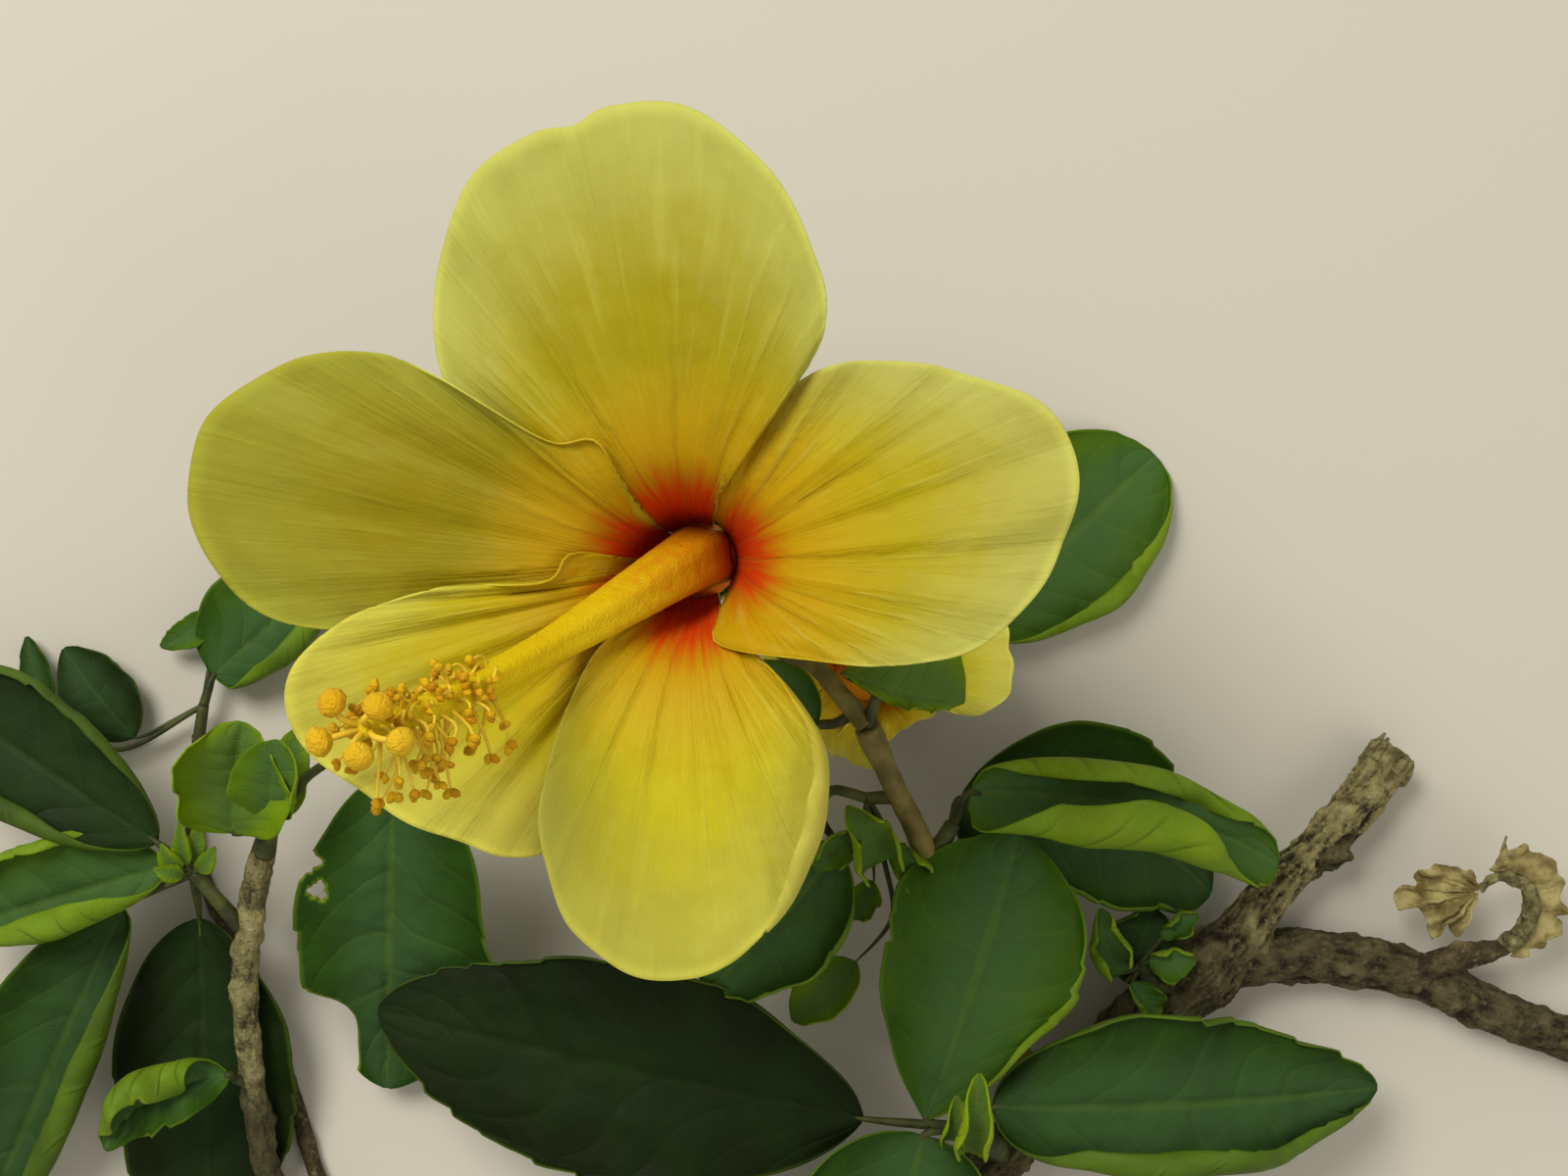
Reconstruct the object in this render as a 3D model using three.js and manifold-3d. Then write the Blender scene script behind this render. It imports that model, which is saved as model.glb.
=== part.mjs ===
// A cut flowering branch of a hibiscus shrub, lying on a level surface with its open bloom facing up.
// Units are millimetres, +Z is up, and the surface is at z = 0.
import * as THREE from 'three';
import Module from 'manifold-3d';

const wasm = await Module();
wasm.setup();

// Every place is written as [across, along, height]. The first two are as seen from a viewpoint straight
// above the branch, measured in the plane of the open bloom, and place() turns them into real positions.
const BLOOM_HEIGHT = 85;
const VIEW_HEIGHT = 385;

// Gap that meeting pieces keep, and the least width of a blade at its two ends
const GAP = 0.3;
const POINT_WIDTH = 0.7;
const LEAF_THICKNESS = 0.85;
const PETAL_THICKNESS = 0.9;
const PETIOLE_RADIUS = 0.85;
const CUP_WALL = 0.5;
const FINEST = 0.05;

// Where the points of a leaf's cross-section lie, for a blade whose margins roll up and for a flatter one
const CURLED_SHARES = [-1, -0.78, -0.45, 0, 0.45, 0.78, 1];
const FLAT_SHARES = [-1, -0.55, 0, 0.55, 1];

// Woody limbs: the points that each one passes through, and its radius at each point
const LIMBS = {
  main_stem: {
    sides: 10,
    path: [[-16, -104, 6.2], [-2, -97, 5.9], [16, -88, 5.6], [33, -74, 5.3], [46, -61, 5.6],
      [57, -52, 7.8], [62, -49, 7.2]],
    radii: [6.2, 5.9, 5.5, 5.2, 5.4, 7.8, 5.6],
  },
  right_limb: {
    sides: 10,
    path: [[58, -51, 7.4], [67, -50, 6], [77, -50.7, 5.2], [87, -53, 4.9], [96, -57.3, 4.6],
      [107, -61.6, 4.4], [117, -66, 4.3]],
    radii: [5.6, 5.4, 5, 4.7, 4.5, 4.3, 4.1],
  },
  broken_stub: {
    sides: 9,
    path: [[58, -51, 9], [63, -46, 9.6], [67, -40.5, 9], [73, -35, 8], [78.5, -28.5, 6.6], [83, -22.3, 5]],
    radii: [5.6, 5, 4.8, 4, 3.7, 4.2],
  },
  dead_twig: {
    sides: 7,
    path: [[85, -53, 6], [89, -51, 8.6], [94, -50, 9.4], [98.5, -48.5, 10]],
    radii: [2.6, 2.3, 2, 1.3],
  },
  left_twig: {
    sides: 8,
    path: [[-11, -101, 6], [-25, -101.5, 3.6], [-45, -99, 3.2], [-60, -91.5, 4.6], [-69.5, -81, 7.6],
      [-72, -69, 10], [-73.4, -54, 13.5], [-72, -41, 18.5], [-70.8, -35.6, 21]],
    radii: [3.4, 3.3, 3.2, 3.1, 3, 2.8, 2.8, 2.6, 2.3],
  },
  back_twig: {
    sides: 6,
    path: [[-4, -97, 4], [-22, -94.5, 1.7], [-45, -91, 1.5], [-61, -84, 1.5], [-66.5, -70, 1.5],
      [-72, -54, 1.5],
      [-80, -36, 2], [-79.6, -20, 4]],
    radii: [1.7, 1.6, 1.5, 1.5, 1.4, 1.4, 1.3, 1.2],
  },
  flower_twig: {
    sides: 8,
    path: [[39, -68.5, 6], [33, -65, 9], [26.5, -57, 13], [21.5, -46, 20], [18.7, -34.5, 29],
      [15, -27, 35.5], [11.3, -19, 40]],
    radii: [3.3, 3.1, 2.8, 2.5, 2.2, 2.1, 2.2],
  },
  front_stalk: {
    sides: 8,
    path: [[11.2, -18.6, 40.2], [7.6, -14.4, 40.3], [4.2, -10.6, 39], [-2, -7.4, 35.5],
      [-5.6, -2.2, 30.5], [-6.9, 3.2, 28.8], [-7.4, 5.9, 32]],
    radii: [2, 1.8, 1.7, 1.6, 1.6, 1.7, 1.9],
  },
  second_stalk: {
    sides: 7,
    path: [[21.6, -46.5, 19], [19.4, -38, 12.5], [15.6, -28.5, 8], [11.6, -19.5, 4.2], [9.9, -11.5, 3],
      [9.1, -5.6, 4.4]],
    radii: [1.9, 1.8, 1.7, 1.6, 1.6, 1.7],
  },
};

// Which limb each limb grows out of
const PARENTS = {
  right_limb: ['main_stem'],
  broken_stub: ['main_stem', 'right_limb'],
  dead_twig: ['right_limb'],
  left_twig: ['main_stem'],
  back_twig: ['main_stem', 'left_twig'],
  flower_twig: ['main_stem'],
  front_stalk: ['flower_twig'],
  second_stalk: ['flower_twig'],
};

// Leaves: base and tip, full width when flat, where the width is greatest along the length, a sideways bow
// and an upward arch of the midrib, a tilt about the midrib, the fold of both halves, and how far the left
// and right margins roll up, with the part of the half-width that stays flat. Angles are in degrees.
const LEAF_DEFAULTS = {
  widest: 0.45, round: 0.7, bow: 0, arch: 3, tilt: 0, fold: 8, rollLeft: 20, rollRight: 20,
  flat: 0.5, small: false,
};

// Leafy shoots: the limb that each grows from, its own stem, and its leaves. A leaf's petiole runs from the
// stem's end to the leaf's base, through the leaf's via points where it has them.
const SHOOTS = {
  middle_leaves: {
    limbs: ['main_stem'],
    stem: [[30, -77, 6], [27.6, -75.4, 15], [24.6, -73.4, 26]],
    stemRadii: [2.3, 2, 1.6],
    leaves: [
      { base: [19.3, -72.3, 28], tip: [32, -33.4, 27], width: 36, widest: 0.6, round: 0.62, arch: 4,
        rollRight: 100, flat: 0.7 },
      { base: [28.4, -70.6, 27], tip: [80.7, -67.9, 13], width: 33, widest: 0.42, arch: 5,
        rollLeft: 50, rollRight: 190, flat: 0.55 },
      { base: [19, -74.4, 27], tip: [8, -108, 7], width: 40, widest: 0.4, round: 0.55, arch: 5,
        rollLeft: 90, flat: 0.72 },
      { base: [10.7, -72.2, 24], tip: [-55.2, -57.3, 18.5], width: 38, widest: 0.5, round: 0.62,
        arch: 4, fold: 4, rollLeft: 30, rollRight: 40 },
      { base: [25, -76.6, 29], tip: [26.6, -66, 42], width: 11, rollLeft: 150,
        rollRight: 150, flat: 0.2, small: true },
      { base: [22.4, -74.6, 28], tip: [23.6, -69, 37], width: 6, rollLeft: 120,
        rollRight: 120, flat: 0.2, small: true },
    ],
  },
  upper_leaves: {
    limbs: ['flower_twig'],
    stem: [[19.2, -37, 27], [21.6, -34.4, 27.4], [23, -32, 27.2]],
    stemRadii: [1.6, 1.5, 1.3],
    leaves: [
      { base: [25.4, -27.8, 33], tip: [67.2, -37.6, 20], width: 33, widest: 0.4, round: 0.55, bow: 4,
        arch: 3, fold: 12, rollLeft: 190, rollRight: 200, flat: 0.36 },
      { base: [24, -28.6, 21], tip: [58, -41.6, 8], width: 33, widest: 0.4, round: 0.6, bow: 5,
        arch: 4, rollLeft: 40, rollRight: 90 },
    ],
  },
  inner_leaves: {
    limbs: ['flower_twig'],
    stem: [[15.6, -28.4, 34.8], [13.4, -28.5, 33.6], [11.4, -28.6, 32.6]],
    stemRadii: [1.3, 1.1, 1],
    leaves: [
      { base: [7.6, -35.8, 27], tip: [-10.5, -55, 25], width: 26, via: [[6.4, -27.6, 32.4],
        [5, -31, 30]], arch: 3, rollLeft: 110, flat: 0.6 },
      { base: [11.6, -38, 28], tip: [8.6, -29.6, 34], width: 14, bow: -2, rollLeft: 110,
        rollRight: 110, flat: 0.3, small: true },
      { base: [12.2, -40, 25], tip: [9.4, -45, 23.5], width: 6, arch: 1, small: true },
      { base: [9.8, -50.8, 19.5], tip: [1.2, -59, 17], width: 11, via: [[13.6, -37, 27],
        [14.6, -45, 22]], arch: 1.5, rollLeft: 100, flat: 0.3, small: true },
    ],
  },
  knot_leaves: {
    limbs: ['main_stem', 'right_limb', 'broken_stub'],
    stem: [[52, -56, 8], [49.6, -53, 14.5], [48.4, -51.4, 16.5]],
    stemRadii: [1.7, 1.4, 1.1],
    leaves: [
      { base: [46.6, -50.4, 17], tip: [43, -44.2, 19], width: 11, bow: 1.5, rollLeft: 120,
        rollRight: 60, flat: 0.3, small: true },
      { base: [46.4, -53.6, 14], tip: [50.4, -43.4, 11.6], width: 16, arch: 1, small: true },
      { base: [50.6, -50.8, 17.4], tip: [54.6, -49.4, 18], width: 6, arch: 1, small: true },
      { base: [48.6, -53.6, 16.6], tip: [48, -57.2, 15.4], width: 6, arch: 1, small: true },
      { base: [51.4, -48.6, 16], tip: [55.4, -44.8, 15.4], width: 5, bow: 0.6, arch: 1, small: true },
    ],
  },
  left_leaves: {
    limbs: ['left_twig', 'back_twig'],
    stem: [[-73, -47, 16], [-76.6, -43, 19], [-80.4, -38.6, 22]],
    stemRadii: [2.1, 1.9, 1.5],
    leaves: [
      { base: [-85.3, -34.6, 23], tip: [-119, -11.5, 15], width: 30, widest: 0.5, arch: 3,
        rollLeft: 110, rollRight: 110, flat: 0.5 },
      { base: [-84.3, -37.8, 20.6], tip: [-113, -46.4, 14], width: 26, arch: 3, fold: 20,
        rollLeft: 170, rollRight: 50, flat: 0.35 },
      { base: [-84.4, -41.4, 16], tip: [-104.5, -93, 3], width: 30, arch: 2, rollLeft: 200, flat: 0.5 },
      { base: [-79.5, -45, 11], tip: [-78, -93, 1.5], width: 32, widest: 0.48, round: 0.6, arch: 0,
        fold: 3 },
      { base: [-80, -37.4, 23.4], tip: [-79.6, -32.6, 27], width: 5, arch: 0.6, small: true },
      { base: [-82, -38, 24], tip: [-84.6, -36.2, 28], width: 4, arch: 0.6, small: true },
    ],
  },
  left_tip_leaves: {
    limbs: ['left_twig'],
    stem: [[-70.8, -35.9, 21], [-70.3, -33.8, 23], [-69.8, -32, 24.4]],
    stemRadii: [2.1, 1.8, 1.5],
    leaves: [
      { base: [-75, -33.4, 26], tip: [-73.6, -18.2, 33], width: 26, widest: 0.5, round: 0.55, arch: 1,
        fold: 20, rollLeft: 60, rollRight: 60, flat: 0.4 },
      { base: [-69.8, -31.4, 28.4], tip: [-69, -21.6, 36.5], width: 13, widest: 0.5, round: 0.55,
        arch: 1, rollRight: 120, flat: 0.4, small: true },
      { base: [-67.6, -31, 23.6], tip: [-65.4, -18.4, 25], width: 8, arch: 1, bow: 1, small: true },
      { base: [-53.2, -25.6, 30], tip: [-54, -68, 5.5], width: 31, widest: 0.48, round: 0.58,
        via: [[-64, -25, 28], [-58, -22.6, 30]],
        arch: 3, fold: 3, rollLeft: 25, flat: 0.6 },
    ],
  },
  twig_leaf: {
    limbs: ['left_twig'],
    stem: [[-72.4, -67.8, 10.4], [-75, -66.6, 13.6]],
    stemRadii: [0.9, 0.85],
    leaves: [
      { base: [-75.6, -66.2, 15.5], tip: [-91.6, -77.4, 17.5], width: 20, bow: -5, arch: 3, tilt: 12,
        rollRight: 130, rollLeft: 50, flat: 0.4 },
    ],
  },
  back_left_leaves: {
    limbs: ['back_twig'],
    stem: [[-79.6, -20.4, 4], [-79, -16, 4.8]],
    stemRadii: [1.1, 1],
    leaves: [
      { base: [-77.6, -12.6, 5], tip: [-58, 3.4, 0.5], width: 25, widest: 0.42, round: 0.55, arch: 2.4,
        fold: 3, rollRight: 110, flat: 0.6 },
      { base: [-79.6, -9.4, 5.4], tip: [-84.6, -4.2, 4.4], width: 6, arch: 1, small: true },
      { base: [-86, -20.4, 3.4], tip: [-95, -7.4, 2], width: 18, arch: 1.6, fold: 3, small: true },
      { base: [-99, -17, 3], tip: [-103, -5.6, 2], width: 7, via: [[-90, -21.6, 3.4]],
        arch: 1, small: true },
    ],
  },
  stalk_leaf: {
    limbs: ['flower_twig', 'front_stalk'],
    stem: [[11.4, -18.8, 40.4], [12, -16.6, 41.6], [12.8, -14.4, 43]],
    stemRadii: [1.1, 1, 0.9],
    leaves: [
      { base: [12.9, -13.8, 43.2], tip: [28.5, 4.5, 40], width: 23, widest: 0.36, round: 0.45, arch: 3,
        tilt: -6,
        fold: 4, rollRight: 60, flat: 0.5 },
    ],
  },
  bract_leaf: {
    limbs: ['front_stalk', 'flower_twig'],
    stem: [[9.6, -17, 40.4], [7, -18.4, 37], [5, -18.6, 35]],
    stemRadii: [0.9, 0.85, 0.8],
    leaves: [
      { base: [4.6, -18.4, 34.8], tip: [-3.8, -10, 38.5], width: 9, arch: -1, bow: -1,
        rollRight: 60, flat: 0.4, small: true },
    ],
  },
  hidden_leaf: {
    limbs: ['second_stalk'],
    stem: [[11.8, -19.9, 4.2], [17, -13.6, 2.6], [23, -8, 2.8]],
    stemRadii: [1, 0.9, 0.85],
    leaves: [
      { base: [25.6, -5.6, 3], tip: [50.6, 18, 0.5], width: 37, widest: 0.52, round: 0.5, arch: 0,
        fold: 7, rollLeft: 60, rollRight: 150, flat: 0.62 },
    ],
  },
};

// The withered leaf that still hangs on the dead twig: two shrivelled blades in one piece
const WITHERED_LEAF = {
  limbs: ['dead_twig', 'right_limb'],
  stem: [[98.3, -48.6, 10], [101.6, -45.6, 12.4], [101, -40.4, 14.6]],
  stemRadii: [1.6, 1.6, 1.3],
  leaves: [
    { base: [101, -41, 14.4], tip: [95.4, -38, 12], width: 12, bow: -2, rollLeft: 60, rollRight: 60,
      flat: 0.3, small: true },
    { base: [95.6, -39, 13], tip: [84.6, -44.6, 9], width: 15, arch: 2, fold: 15, rollLeft: 40,
      rollRight: 40, flat: 0.3, small: true },
  ],
};

// Petals: direction and length as seen from the viewpoint, then for each side (the side that lies under
// its neighbour, turned anticlockwise, and the side that lies over the next one) the half-width, where it
// is greatest, and how slowly the claw widens. skew bends the tip to one side and droop lowers it.
const FRONT_BLOOM = {
  centre: [-14, 2.7, BLOOM_HEIGHT],
  depth: 30, tubeRadius: 4.8, flare: 4.6, leanAngle: 204, leanSlope: 0.28, crown: 3, overlap: 0.1,
  petals: [
    { angle: 100, length: 63.6, under: [28, 0.52, 1], over: [26, 0.48, 1.15], skew: 0, droop: 0 },
    { angle: 168, length: 68.4, under: [19.5, 0.66, 1.1], over: [20.4, 0.64, 0.42], skew: 0, droop: 3 },
    { angle: 212, length: 57.8, under: [21.6, 0.6, 0.8], over: [17, 0.62, 0.8], skew: -5, droop: 4 },
    { angle: 269.5, length: 56.2, under: [20.3, 0.52, 1], over: [19.2, 0.62, 0.36], skew: 0, droop: 0 },
    { angle: 10, length: 54.8, under: [24.4, 0.46, 0.45], over: [18, 0.42, 0.3], skew: 0, droop: -2 },
  ],
  column: [[-11.4, 3.9, 56], [-13.4, 3.2, 68], [-31.6, -8, 88], [-45.4, -15.2, 105], [-57.9, -19.3, 119]],
  columnRadii: [3.3, 3.3, 2.3, 1.8, 1.2],
  stamenRows: 5,
  steps: [0, 0.06, 0.14, 0.26, 0.42, 0.6, 0.78, 0.92, 0.99],
  calyx: [[-7.4, 6, 32.3], [-9.4, 5, 44], [-11.2, 4.1, 54.4]],
  calyxRadii: [2.9, 5.6, 6.9],
};
const SECOND_BLOOM = {
  centre: [11.7, -12, 28],
  depth: 13, tubeRadius: 4.2, flare: 3.4, leanAngle: 290, leanSlope: 0.35, crown: 2, overlap: 0.1,
  petals: [
    { angle: 84, length: 27, under: [11, 0.6, 0.9], over: [12, 0.6, 0.9], skew: 0, droop: 0 },
    { angle: 168, length: 14.6, under: [9, 0.6, 0.8], over: [9, 0.6, 0.8], skew: 0, droop: 5 },
    { angle: 226, length: 10.8, under: [8.6, 0.6, 0.6], over: [8.6, 0.6, 0.6], skew: 0, droop: 12 },
    { angle: 297, length: 8.6, under: [9.4, 0.6, 0.5], over: [9.4, 0.6, 0.5], skew: 0, droop: 12 },
    { angle: 14, length: 19.4, under: [11, 0.6, 0.8], over: [8.6, 0.6, 0.6], skew: 0, droop: 3 },
  ],
  column: [[10.8, -9.6, 16.4], [8.4, -7.2, 25], [3.4, -1, 38], [2.4, 6.4, 50]],
  columnRadii: [2.6, 2.2, 1.7, 1.1],
  stamenRows: 2,
  steps: [0, 0.12, 0.3, 0.6, 0.85, 0.98],
  calyx: [[9.1, -5.4, 4.7], [9.6, -6.4, 10], [10, -7.4, 14.2]],
  calyxRadii: [2.4, 4.4, 5.8],
};
const THROAT_SLOPE = 0.1;
const STAMENS = { around: 5, from: 0.6, to: 0.9, reach: 7.5, radius: 0.6, anther: 1.2 };
const STIGMAS = { count: 5, reach: 5.6, radius: 0.7, pad: 1.9 };

// How much wider things at a height really are than they look from the viewpoint
function spreadAt(height) {
  return (VIEW_HEIGHT - height) / (VIEW_HEIGHT - BLOOM_HEIGHT);
}

// Turns a place as seen from the viewpoint into a real position
function place([across, along, height]) {
  const spread = spreadAt(height);
  return new THREE.Vector3(across * spread, along * spread, height);
}

// Joins rings of points, all with the same count, into one closed geometry with both ends capped
function loft(rings) {
  const count = rings[0].length;
  const points = rings.flat();
  const faces = [];
  for (let i = 0; i < rings.length - 1; i++) {
    for (let j = 0; j < count; j++) {
      const a = i * count + j;
      const b = i * count + ((j + 1) % count);
      faces.push([a, b, b + count], [a, b + count, a + count]);
    }
  }
  for (const [start, turned] of [[0, true], [(rings.length - 1) * count, false]]) {
    const middle = points.length;
    const sum = new THREE.Vector3();
    for (let j = 0; j < count; j++) sum.add(points[start + j]);
    points.push(sum.divideScalar(count));
    for (let j = 0; j < count; j++) {
      const a = start + j;
      const b = start + ((j + 1) % count);
      faces.push(turned ? [b, a, middle] : [a, b, middle]);
    }
  }
  const geometry = new THREE.BufferGeometry().setFromPoints(points);
  const outward = signedVolume(points, faces) < 0 ? faces.map(([a, b, c]) => [a, c, b]) : faces;
  geometry.setIndex(outward.flat());
  return geometry;
}

function signedVolume(points, faces) {
  const cross = new THREE.Vector3();
  const share = ([a, b, c]) => cross.crossVectors(points[b], points[c]).dot(points[a]) / 6;
  return faces.reduce((sum, face) => sum + share(face), 0);
}

// A closed geometry with shared vertices as a solid, and back again
function solidOf(geometry) {
  const vertProperties = Float32Array.from(geometry.getAttribute('position').array);
  const triVerts = Uint32Array.from(geometry.getIndex().array);
  return new wasm.Manifold(new wasm.Mesh({ numProp: 3, vertProperties, triVerts }));
}

function geometryOf(solid) {
  const { vertProperties, triVerts } = solid.getMesh();
  const geometry = new THREE.BufferGeometry();
  geometry.setAttribute('position', new THREE.BufferAttribute(vertProperties, 3));
  geometry.setIndex(new THREE.BufferAttribute(triVerts, 1));
  return geometry;
}

// The largest body of a solid: a scrap that a cut leaves loose is dropped
function mainBody(solid) {
  const bodies = solid.decompose();
  return bodies.reduce((best, body) => (body.volume() > best.volume() ? body : best));
}

// A tapering round limb through real positions, longer at both ends and thicker all round by grow
function tube(points, radii, sides, steps, grow = 0) {
  const curve = new THREE.CatmullRomCurve3(points, false, 'centripetal');
  const frames = curve.computeFrenetFrames(steps, false);
  const rings = [];
  for (let i = 0; i <= steps; i++) {
    const middle = curve.getPointAt(i / steps);
    const along = curve.getUtoTmapping(i / steps) * (radii.length - 1);
    const before = Math.min(Math.floor(along), radii.length - 2);
    const radius = THREE.MathUtils.lerp(radii[before], radii[before + 1], along - before) + grow;
    if (i === 0) middle.addScaledVector(frames.tangents[0], -grow);
    if (i === steps) middle.addScaledVector(frames.tangents[steps], grow);
    rings.push(ringAround(middle, frames.normals[i], frames.binormals[i], radius, sides));
  }
  return solidOf(loft(rings));
}

function ringAround(middle, normal, binormal, radius, sides) {
  const ring = [];
  for (let j = 0; j < sides; j++) {
    const turn = (2 * Math.PI * j) / sides;
    const outward = normal.clone().multiplyScalar(Math.cos(turn)).addScaledVector(binormal, Math.sin(turn));
    ring.push(middle.clone().addScaledVector(outward, radius));
  }
  return ring;
}

function limb(name, grow = 0) {
  const { path, radii, sides } = LIMBS[name];
  return tube(path.map(place), radii, sides, Math.round(path.length * 1.6), grow);
}

// A thin closed blade on a grid of mid-surface points: full thickness inside, an edge at its two sides
function blade(grid, thickness) {
  const rows = grid.length;
  const columns = grid[0].length;
  const rings = grid.map((row, i) => {
    const ahead = grid[Math.min(i + 1, rows - 1)];
    const behind = grid[Math.max(i - 1, 0)];
    const upper = [];
    const lower = [];
    row.forEach((point, j) => {
      const lengthwise = ahead[j].clone().sub(behind[j]);
      const crosswise = row[Math.min(j + 1, columns - 1)].clone().sub(row[Math.max(j - 1, 0)]);
      const normal = lengthwise.cross(crosswise).normalize();
      const half = j === 0 || j === columns - 1 ? 0 : thickness / 2;
      upper.push(point.clone().addScaledVector(normal, half));
      if (half > 0) lower.unshift(point.clone().addScaledVector(normal, -half));
    });
    return [...upper, ...lower];
  });
  return solidOf(loft(rings));
}

// Half-width of a leaf at t along its length, as a share of its greatest half-width
function leafProfile(t, widest, round) {
  const stretch = Math.log(0.5) / Math.log(widest);
  return Math.sin(Math.PI * t ** stretch) ** round;
}

// How far a point at q of the half-width lies out from the midrib, and how far above it, on a half-blade
// that is flat up to one share of its width and then rolls up evenly to its margin
function crossSection(q, halfWidth, fold, roll, flat) {
  const straight = Math.min(q, flat) * halfWidth;
  let out = straight * Math.cos(fold);
  let up = straight * Math.sin(fold);
  if (q > flat) {
    const arc = (q - flat) * halfWidth;
    const turn = (roll * (q - flat)) / (1 - flat);
    if (Math.abs(turn) > 0.01) {
      const radius = arc / turn;
      out += radius * (Math.sin(fold + turn) - Math.sin(fold));
      up += radius * (Math.cos(fold) - Math.cos(fold + turn));
    } else {
      out += arc * Math.cos(fold);
      up += arc * Math.sin(fold);
    }
  }
  return [out, up];
}

function leaf(given) {
  const spec = { ...LEAF_DEFAULTS, ...given };
  const rows = spec.small ? 4 : 7;
  const curled = Math.max(spec.rollLeft, spec.rollRight) > 60;
  const shares = curled ? CURLED_SHARES : FLAT_SHARES;
  const base = place(spec.base);
  const span = place(spec.tip).sub(base);
  const level = new THREE.Vector3(-span.y, span.x, 0).normalize();
  const upward = span.clone().cross(level).normalize();
  const tilt = THREE.MathUtils.degToRad(spec.tilt);
  const side = level.clone().multiplyScalar(Math.cos(tilt)).addScaledVector(upward, Math.sin(tilt));
  const face = upward.clone().multiplyScalar(Math.cos(tilt)).addScaledVector(level, -Math.sin(tilt));
  const grid = [];
  for (let i = 0; i < rows; i++) {
    const t = i / (rows - 1);
    const hump = 4 * t * (1 - t);
    const middle = base.clone().addScaledVector(span, t);
    middle.addScaledVector(level, spec.bow * hump).addScaledVector(upward, spec.arch * hump);
    const inside = THREE.MathUtils.clamp(t, 0.001, 0.999);
    const fullness = leafProfile(inside, spec.widest, spec.round);
    const halfWidth = Math.max(spec.width * fullness, POINT_WIDTH) / 2;
    const rollShare = Math.sqrt(Math.sin(Math.PI * inside));
    grid.push(shares.map((share) => {
      const roll = THREE.MathUtils.degToRad(share > 0 ? spec.rollLeft : spec.rollRight) * rollShare;
      const fold = THREE.MathUtils.degToRad(spec.fold) * rollShare;
      const [out, up] = crossSection(Math.abs(share), halfWidth, fold, roll, spec.flat);
      return middle.clone().addScaledVector(side, Math.sign(share) * out).addScaledVector(face, up);
    }));
  }
  return blade(grid, LEAF_THICKNESS);
}

// A leafy shoot in one piece: stem, petioles and leaves, cut clear of the limbs that it meets
function shoot({ limbs, stem, stemRadii, leaves }) {
  const end = place(stem[stem.length - 1]);
  let solid = tube(stem.map(place), stemRadii, 6, 3);
  for (const spec of leaves) {
    const base = place(spec.base);
    const inward = place(spec.tip).sub(base).multiplyScalar(0.06).add(base);
    const route = [end, ...(spec.via || []).map(place), base, inward];
    const radii = route.map((_, i) => PETIOLE_RADIUS * (1 - (0.35 * i) / route.length));
    solid = solid.add(tube(route, radii, 3, route.length)).add(leaf(spec));
  }
  for (const name of limbs) solid = solid.subtract(limb(name, GAP));
  return mainBody(solid);
}

// Half-width of a petal at t along its length, for one side
function petalSide([width, widest, claw], t) {
  if (t < widest) return width * Math.sin((Math.PI / 2) * (t / widest)) ** claw;
  return width * Math.sqrt(1 - ((t - widest) / (1 - widest)) ** 2.2);
}

// A point of a petal at t along its length and share across it, from -1 over the next petal to +1 under
// its neighbour. The petals stand in a tube round the column and flare out of it, and the bloom leans.
function petalPoint(bloom, petal, t, share) {
  const [x, y, z] = bloom.centre;
  const angle = THREE.MathUtils.degToRad(petal.angle);
  const lean = THREE.MathUtils.degToRad(bloom.leanAngle);
  const side = share > 0 ? petal.under : petal.over;
  const outward = bloom.tubeRadius + (petal.length - bloom.tubeRadius) * t;
  const across = share * Math.max(petalSide(side, t), 2.4) + petal.skew * t ** 3;
  const dx = outward * Math.cos(angle) - across * Math.sin(angle);
  const dy = outward * Math.sin(angle) + across * Math.cos(angle);
  const radius = Math.hypot(dx, dy);
  const sunk = bloom.depth * Math.exp(-(radius - bloom.tubeRadius) / bloom.flare);
  const leaning = bloom.leanSlope * (dx * Math.cos(lean) + dy * Math.sin(lean));
  const arch = bloom.crown * Math.sin(Math.PI * Math.min(t * 0.9, 1));
  const height = z - sunk - leaning + arch - bloom.overlap * across - petal.droop * t * t;
  const shift = THROAT_SLOPE * sunk;
  return place([x + dx - shift * Math.cos(lean), y + dy - shift * Math.sin(lean), height]);
}

function petal(bloom, spec) {
  const shares = [-1, -0.75, -0.4, 0, 0.4, 0.75, 1];
  const grid = bloom.steps.map((t) => shares.map((share) => petalPoint(bloom, spec, t, share)));
  return blade(grid, PETAL_THICKNESS);
}

// The middle of the petals' tube where it has sunk by so much below the open petals
function throat(bloom, sunk) {
  const [x, y, z] = bloom.centre;
  const lean = THREE.MathUtils.degToRad(bloom.leanAngle);
  const shift = THROAT_SLOPE * sunk;
  return [x - shift * Math.cos(lean), y - shift * Math.sin(lean), z - sunk];
}

// The cup at the foot of one bloom's petals
function petalCup(bloom, grow = 0) {
  const points = [2, -1, -5].map((lower) => place(throat(bloom, bloom.depth + lower)));
  const radius = bloom.tubeRadius * spreadAt(bloom.centre[2] - bloom.depth) + CUP_WALL;
  return tube(points, [radius - 0.8, radius, radius + 0.4], 10, 3, grow);
}

// The petals of one bloom, joined round the cup and clear of the column
function corolla(bloom) {
  let solid = petalCup(bloom);
  for (const spec of bloom.petals) solid = solid.add(petal(bloom, spec));
  return mainBody(solid.subtract(columnTube(bloom, GAP)));
}

function columnTube(bloom, grow = 0) {
  return tube(bloom.column.map(place), bloom.columnRadii, 10, 8, grow);
}

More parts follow.
